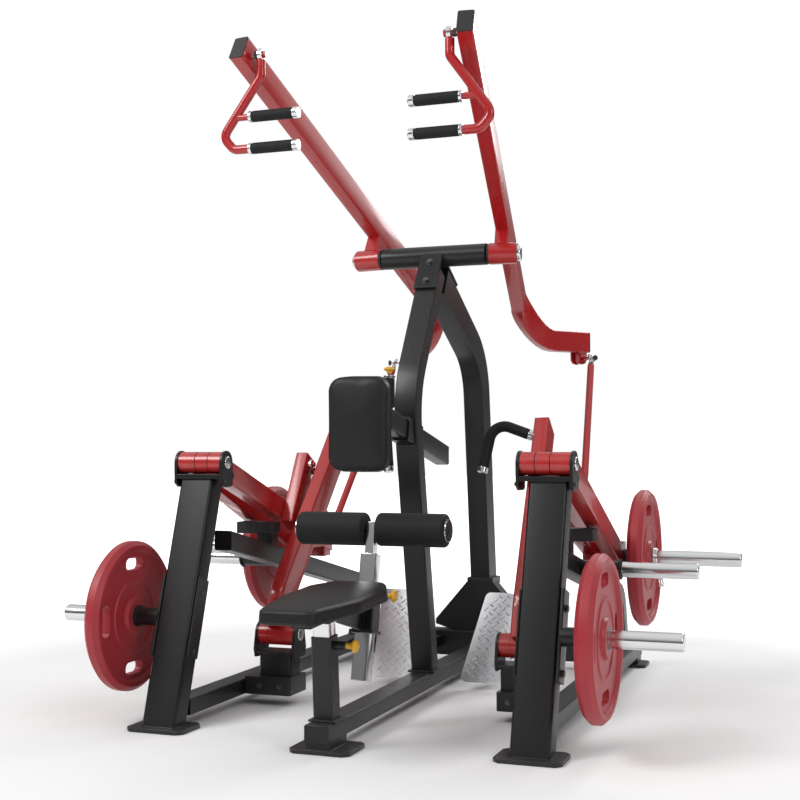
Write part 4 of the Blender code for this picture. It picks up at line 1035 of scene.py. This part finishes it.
# cloth under pressure, each point's travel capped and weighted
def inflate(item, cap, weight):
    rebuilt = item.modifiers.new("rebuilt", "REMESH")
    rebuilt.mode, rebuilt.voxel_size, rebuilt.use_smooth_shade = "VOXEL", cushion["voxel"], True
    applyModifiers(item)
    smooth = item.modifiers.new("smooth", "SMOOTH")
    smooth.factor, smooth.iterations = 0.5, 6
    applyModifiers(item)
    rest = coordinates(item.data)
    cloth = item.modifiers.new("cloth", "CLOTH")
    cloth.settings.use_pressure = True
    cloth.settings.uniform_pressure_force = cushion["pressure"]
    cloth.settings.effector_weights.gravity = 0
    cloth.settings.tension_stiffness = cushion["stiff"]
    cloth.settings.compression_stiffness = cushion["stiff"]
    cloth.settings.bending_stiffness = cushion["bend"]
    for step in range(1, cushion["frames"] + 1):
        bpy.context.scene.frame_set(step)
    evaluated = item.evaluated_get(bpy.context.evaluated_depsgraph_get())
    moved = coordinates(evaluated.data) - rest
    item.modifiers.clear()
    bpy.context.scene.frame_set(1)
    size = np.linalg.norm(moved, axis=1, keepdims=True)
    moved *= np.minimum(1, cap / np.maximum(size, 1e-9)) * weight(rest)[:, None]
    item.data.vertices.foreach_set("co", (rest + moved).ravel())
    item.data.update()


# pad blank: outline inset, with stepped rings so that its rim is already rounded
def loopPrism(loop, z0, z1, inset, crown):
    centre = Vector((sum(p[0] for p in loop) / len(loop), sum(p[1] for p in loop) / len(loop)))
    bm = bmesh.new()
    rings = []
    for z, extra in ((z0, 0.004), (z0 + 0.005, 0), (z1 - 0.016, 0), (z1 - 0.006, 0.003),
                     (z1 - 0.001, 0.010), (z1, 0.016)):
        ring = []
        for a, b in loop:
            direction = Vector((a, b)) - centre
            pull = 1 - (inset + extra) / direction.length
            spot = centre + direction * pull
            ring.append(bm.verts.new((spot.x, spot.y, z)))
        rings.append(ring)
    count = len(loop)
    for a, b in zip(rings, rings[1:]):
        for i in range(count):
            bm.faces.new((a[i], a[(i + 1) % count], b[(i + 1) % count], b[i]))
    bm.faces.new(list(reversed(rings[0])))
    top = rings[-1]
    for scale in (0.94, 0.86, 0.75, 0.6, 0.45, 0.3, 0.15):
        ring = [bm.verts.new((centre.x + (v.co.x - centre.x) * scale,
                              centre.y + (v.co.y - centre.y) * scale,
                              z1 + crown * (1 - scale ** 2)))
                for v in rings[-1]]
        for i in range(count):
            bm.faces.new((top[i], top[(i + 1) % count], ring[(i + 1) % count], ring[i]))
        top = ring
    bm.faces.new(top)
    bmesh.ops.recalc_face_normals(bm, faces=bm.faces)
    return bm


# closed half outline mirrored to the other side of x = 0
def outlineOf(points, radius):
    path = fillet(points, radius, 8)[1:-1]
    half = [(p.x, p.y) for p in path]
    return half + [(-a, b) for a, b in reversed(half)]


def seamLoop(loop, inset, z):
    centre = Vector((sum(p[0] for p in loop) / len(loop), sum(p[1] for p in loop) / len(loop)))
    points = []
    for a, b in loop:
        direction = Vector((a, b)) - centre
        spot = centre + direction * (1 - inset / direction.length)
        points.append(Vector((spot.x, spot.y, z)))
    dense = []
    for a, b in zip(points, points[1:] + points[:1]):
        steps = max(1, int((b - a).length / 0.02))
        dense += [a.lerp(b, k / steps) for k in range(steps)]
    dense.append(dense[0])
    return dense


pads = {
    "seat_pad": dict(body="seat", top=0.052, crown=0.0075, inset=0.0022, cap=0.0022,
                     place=Matrix.Translation((0, 0, 0.4279 - 0.052))
                     @ Matrix.Rotation(math.radians(2.6), 4, "X"),
                     loop=outlineOf([(0, -0.203, 0), (0.078, -0.203, 0), (0.126, 0.020, 0),
                                     (0.126, 0.220, 0), (0.078, 0.333, 0), (0, 0.333, 0)], 0.026)),
    "chest_pad": dict(body="chest", top=0.060, crown=0.0100, inset=0.0022, cap=0.0022,
                      place=Matrix(((1, 0, 0, 0), (0, 0, -1, 0.3360), (0, 1, 0, 0.890),
                                    (0, 0, 0, 1))),
                      loop=outlineOf([(0, -0.142, 0), (0.095, -0.142, 0), (0.095, 0.142, 0),
                                      (0, 0.142, 0)], 0.044)),
}


def makePads():
    for name, s in pads.items():
        blank = loopPrism(s["loop"], 0.0015, s["top"] - s["crown"] - 0.002, s["inset"], s["crown"])
        item = linked(blank, name + "_cover")
        inflate(item, s["cap"], lambda rest: np.clip((rest[:, 2] - 0.004) / 0.02, 0, 1))
        high = coordinates(item.data)
        high[:, 2] = np.clip(high[:, 2], 0.0006, s["top"] + 0.004)
        item.data.vertices.foreach_set("co", high.ravel())
        move = Matrix.Translation((0, shiftY, 0)) @ s["place"]
        item.data.transform(move)
        item.data.shade_smooth()
        item.data.materials.append(mats["vinyl"])
        soft = item.modifiers.new("soft", "SUBSURF")
        soft.levels = soft.render_levels = 1
        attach(item, s["body"])
        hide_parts(name)
        skinTree = BVHTree.FromPolygons([v.co for v in item.data.vertices],
                                        [p.vertices[:] for p in item.data.polygons])
        seams = []
        for z in (s["top"] - s["crown"] - 0.0075, 0.0085):
            line = [skinTree.find_nearest(move @ p) for p in seamLoop(s["loop"], 0.0005, z)]
            seams.append((tube([spot + normal * 0.0002 for spot, normal, _, _ in line],
                               0.0013, 8), 0))
        welt = join(*seams)
        settle(name + "_seam", welt, ["vinyl"], s["body"], weighted=False)
    print("pads done")


roller = dict(axle=(0, 0.418, 0.5775), inner=0.0195, outer=0.2335, bore=0.0120, middle=0.0505,
              roll=((0, 0.0400), (0.0020, 0.0465), (0.0070, 0.0495), (0.0140, 0.0502)))


def makeRollers():
    def build():
        inside = [(roller["inner"] + a, r) for a, r in roller["roll"]]
        outside = [(roller["outer"] - a, r) for a, r in reversed(roller["roll"])]
        return turned([(roller["inner"], roller["bore"]), *inside, (0.1265, roller["middle"]),
                       *outside, (roller["outer"], roller["bore"])], at(*roller["axle"]),
                      count=72, round=0.004)
    for side, sign in (("left", -1), ("right", 1)):
        bm = build()
        if sign < 0:
            flipX(bm)
        piece = settle(side + "_thigh_roller_foam", bm, ["foam"], side + "_roller")
        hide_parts(side + "_thigh_roller")
        spot = at(*roller["axle"])
        disc = turned([(0.2345, 0.0100), (0.2345, 0.0310), (0.2400, 0.0310), (0.2412, 0.0290),
                       (0.2412, 0.0150), (0.2425, 0.0120), (0.2425, 0)], spot)
        rim = turned([(0.2342, 0.0300), (0.2342, 0.0345), (0.2385, 0.0345), (0.2385, 0.0300)], spot)
        cap = join((disc, 0), (rim, 1))
        if sign < 0:
            flipX(cap)
        settle(side + "_roller_end", cap, ["rubber", "chrome"], "thigh")
    print("rollers done")


sky = {"low": 0.07, "middle": 0.16, "high": 0.85, "strength": 0.80, "clearFrom": 1.7, "clearTo": 4.5}


# white to the eye; what lights the metal is bright above and dark toward the horizon
def makeSky():
    world = bpy.data.worlds.new("studio")
    bpy.context.scene.world = world
    world.use_nodes = True
    tree = world.node_tree
    lit = tree.nodes["Background"]
    lit.inputs["Strength"].default_value = sky["strength"]
    split = addNode(tree, "ShaderNodeSeparateXYZ")
    tree.links.new(addNode(tree, "ShaderNodeTexCoord").outputs["Generated"], split.inputs[0])
    ramp = addNode(tree, "ShaderNodeValToRGB")
    ramp.color_ramp.interpolation = "EASE"
    for spot, value in ((0.0, sky["low"]), (0.12, sky["middle"]), (0.75, sky["high"])):
        stop = ramp.color_ramp.elements.new(spot) if spot not in (0.0,) else ramp.color_ramp.elements[0]
        stop.position, stop.color = spot, (value, value, value, 1)
    tree.links.new(split.outputs["Z"], ramp.inputs[0])
    tree.links.new(ramp.outputs[0], lit.inputs["Color"])
    seen = addNode(tree, "ShaderNodeBackground")
    setIn(seen, Color=(1, 1, 1, 1), Strength=1.0)
    pick = addNode(tree, "ShaderNodeMixShader")
    tree.links.new(addNode(tree, "ShaderNodeLightPath").outputs["Is Camera Ray"], pick.inputs[0])
    tree.links.new(lit.outputs[0], pick.inputs[1])
    tree.links.new(seen.outputs[0], pick.inputs[2])
    tree.links.new(pick.outputs[0], tree.nodes["World Output"].inputs["Surface"])


lamps = {     # place, aim, size, power
    "key": ((-2.8, -3.6, 4.4), (0, 0, 0.9), 2.2, 150),
    "fill": ((4.4, -2.6, 2.6), (0, 0, 0.8), 1.6, 45),
    "rim": ((1.5, 4.5, 3.6), (0, 0, 1.0), 2.0, 90),
}
view = dict(place=(1.411, -3.2, 0.827), turn=20.10, tilt=92.01, roll=-0.10, lens=58.35, film=36.0)


def makeStudio():
    mesh = bpy.data.meshes.new("floor")
    mesh.from_pydata([(-30, -30, 0), (30, -30, 0), (30, 30, 0), (-30, 30, 0)], [], [(0, 1, 2, 3)])
    floor = bpy.data.objects.new("floor", mesh)
    bpy.context.scene.collection.objects.link(floor)
    floor.location.z = -0.0006
    paper = bpy.data.materials.new("paleFloor")
    paper.use_nodes = True
    shader = paper.node_tree.nodes["Principled BSDF"]
    shader.inputs["Base Color"].default_value = (0.93, 0.93, 0.93, 1)
    shader.inputs["Roughness"].default_value = 0.9
    shader.inputs["Specular IOR Level"].default_value = 0.1
    tree = paper.node_tree
    away = addNode(tree, "ShaderNodeVectorMath", operation="LENGTH")
    tree.links.new(addNode(tree, "ShaderNodeTexCoord").outputs["Object"], away.inputs[0])
    fade = addNode(tree, "ShaderNodeMapRange")
    setIn(fade, From_Min=sky["clearFrom"], From_Max=sky["clearTo"])
    tree.links.new(away.outputs["Value"], fade.inputs["Value"])
    shader.inputs["Emission Color"].default_value = (1, 1, 1, 1)
    seen = addNode(tree, "ShaderNodeLightPath").outputs["Is Camera Ray"]
    tree.links.new(makeMath(tree, "MULTIPLY", fade.outputs[0], seen),
                   shader.inputs["Emission Strength"])
    mesh.materials.append(paper)

    makeSky()
    for name, (spot, aim, size, power) in lamps.items():
        data = bpy.data.lights.new(name, "AREA")
        data.energy, data.size = power, size
        lamp = bpy.data.objects.new(name, data)
        bpy.context.scene.collection.objects.link(lamp)
        lamp.location = spot
        lamp.rotation_mode = "QUATERNION"
        lamp.rotation_quaternion = (Vector(aim) - Vector(spot)).to_track_quat("-Z", "Y")

    data = bpy.data.cameras.new("view")
    data.sensor_width, data.lens = view["film"], view["lens"]
    camera = bpy.data.objects.new("view", data)
    bpy.context.scene.collection.objects.link(camera)
    turn = (Matrix.Rotation(math.radians(view["turn"]), 4, "Z")
            @ Matrix.Rotation(math.radians(view["tilt"]), 4, "X")
            @ Matrix.Rotation(math.radians(view["roll"]), 4, "Z"))
    camera.matrix_world = Matrix.Translation(at(*view["place"])) @ turn
    bpy.context.scene.camera = camera
    bpy.context.scene.view_settings.view_transform = "Standard"
    print("studio done")


makeFrame()
makeHorns()
makePlates()
makePivots()
makeBolts()
makeEnds()
makeLatHandles()
makeRowHandles()
makeLinks()
makeCollars()
makeKnobs()
makeFootrests()
makePads()
makeRollers()
makeStudio()
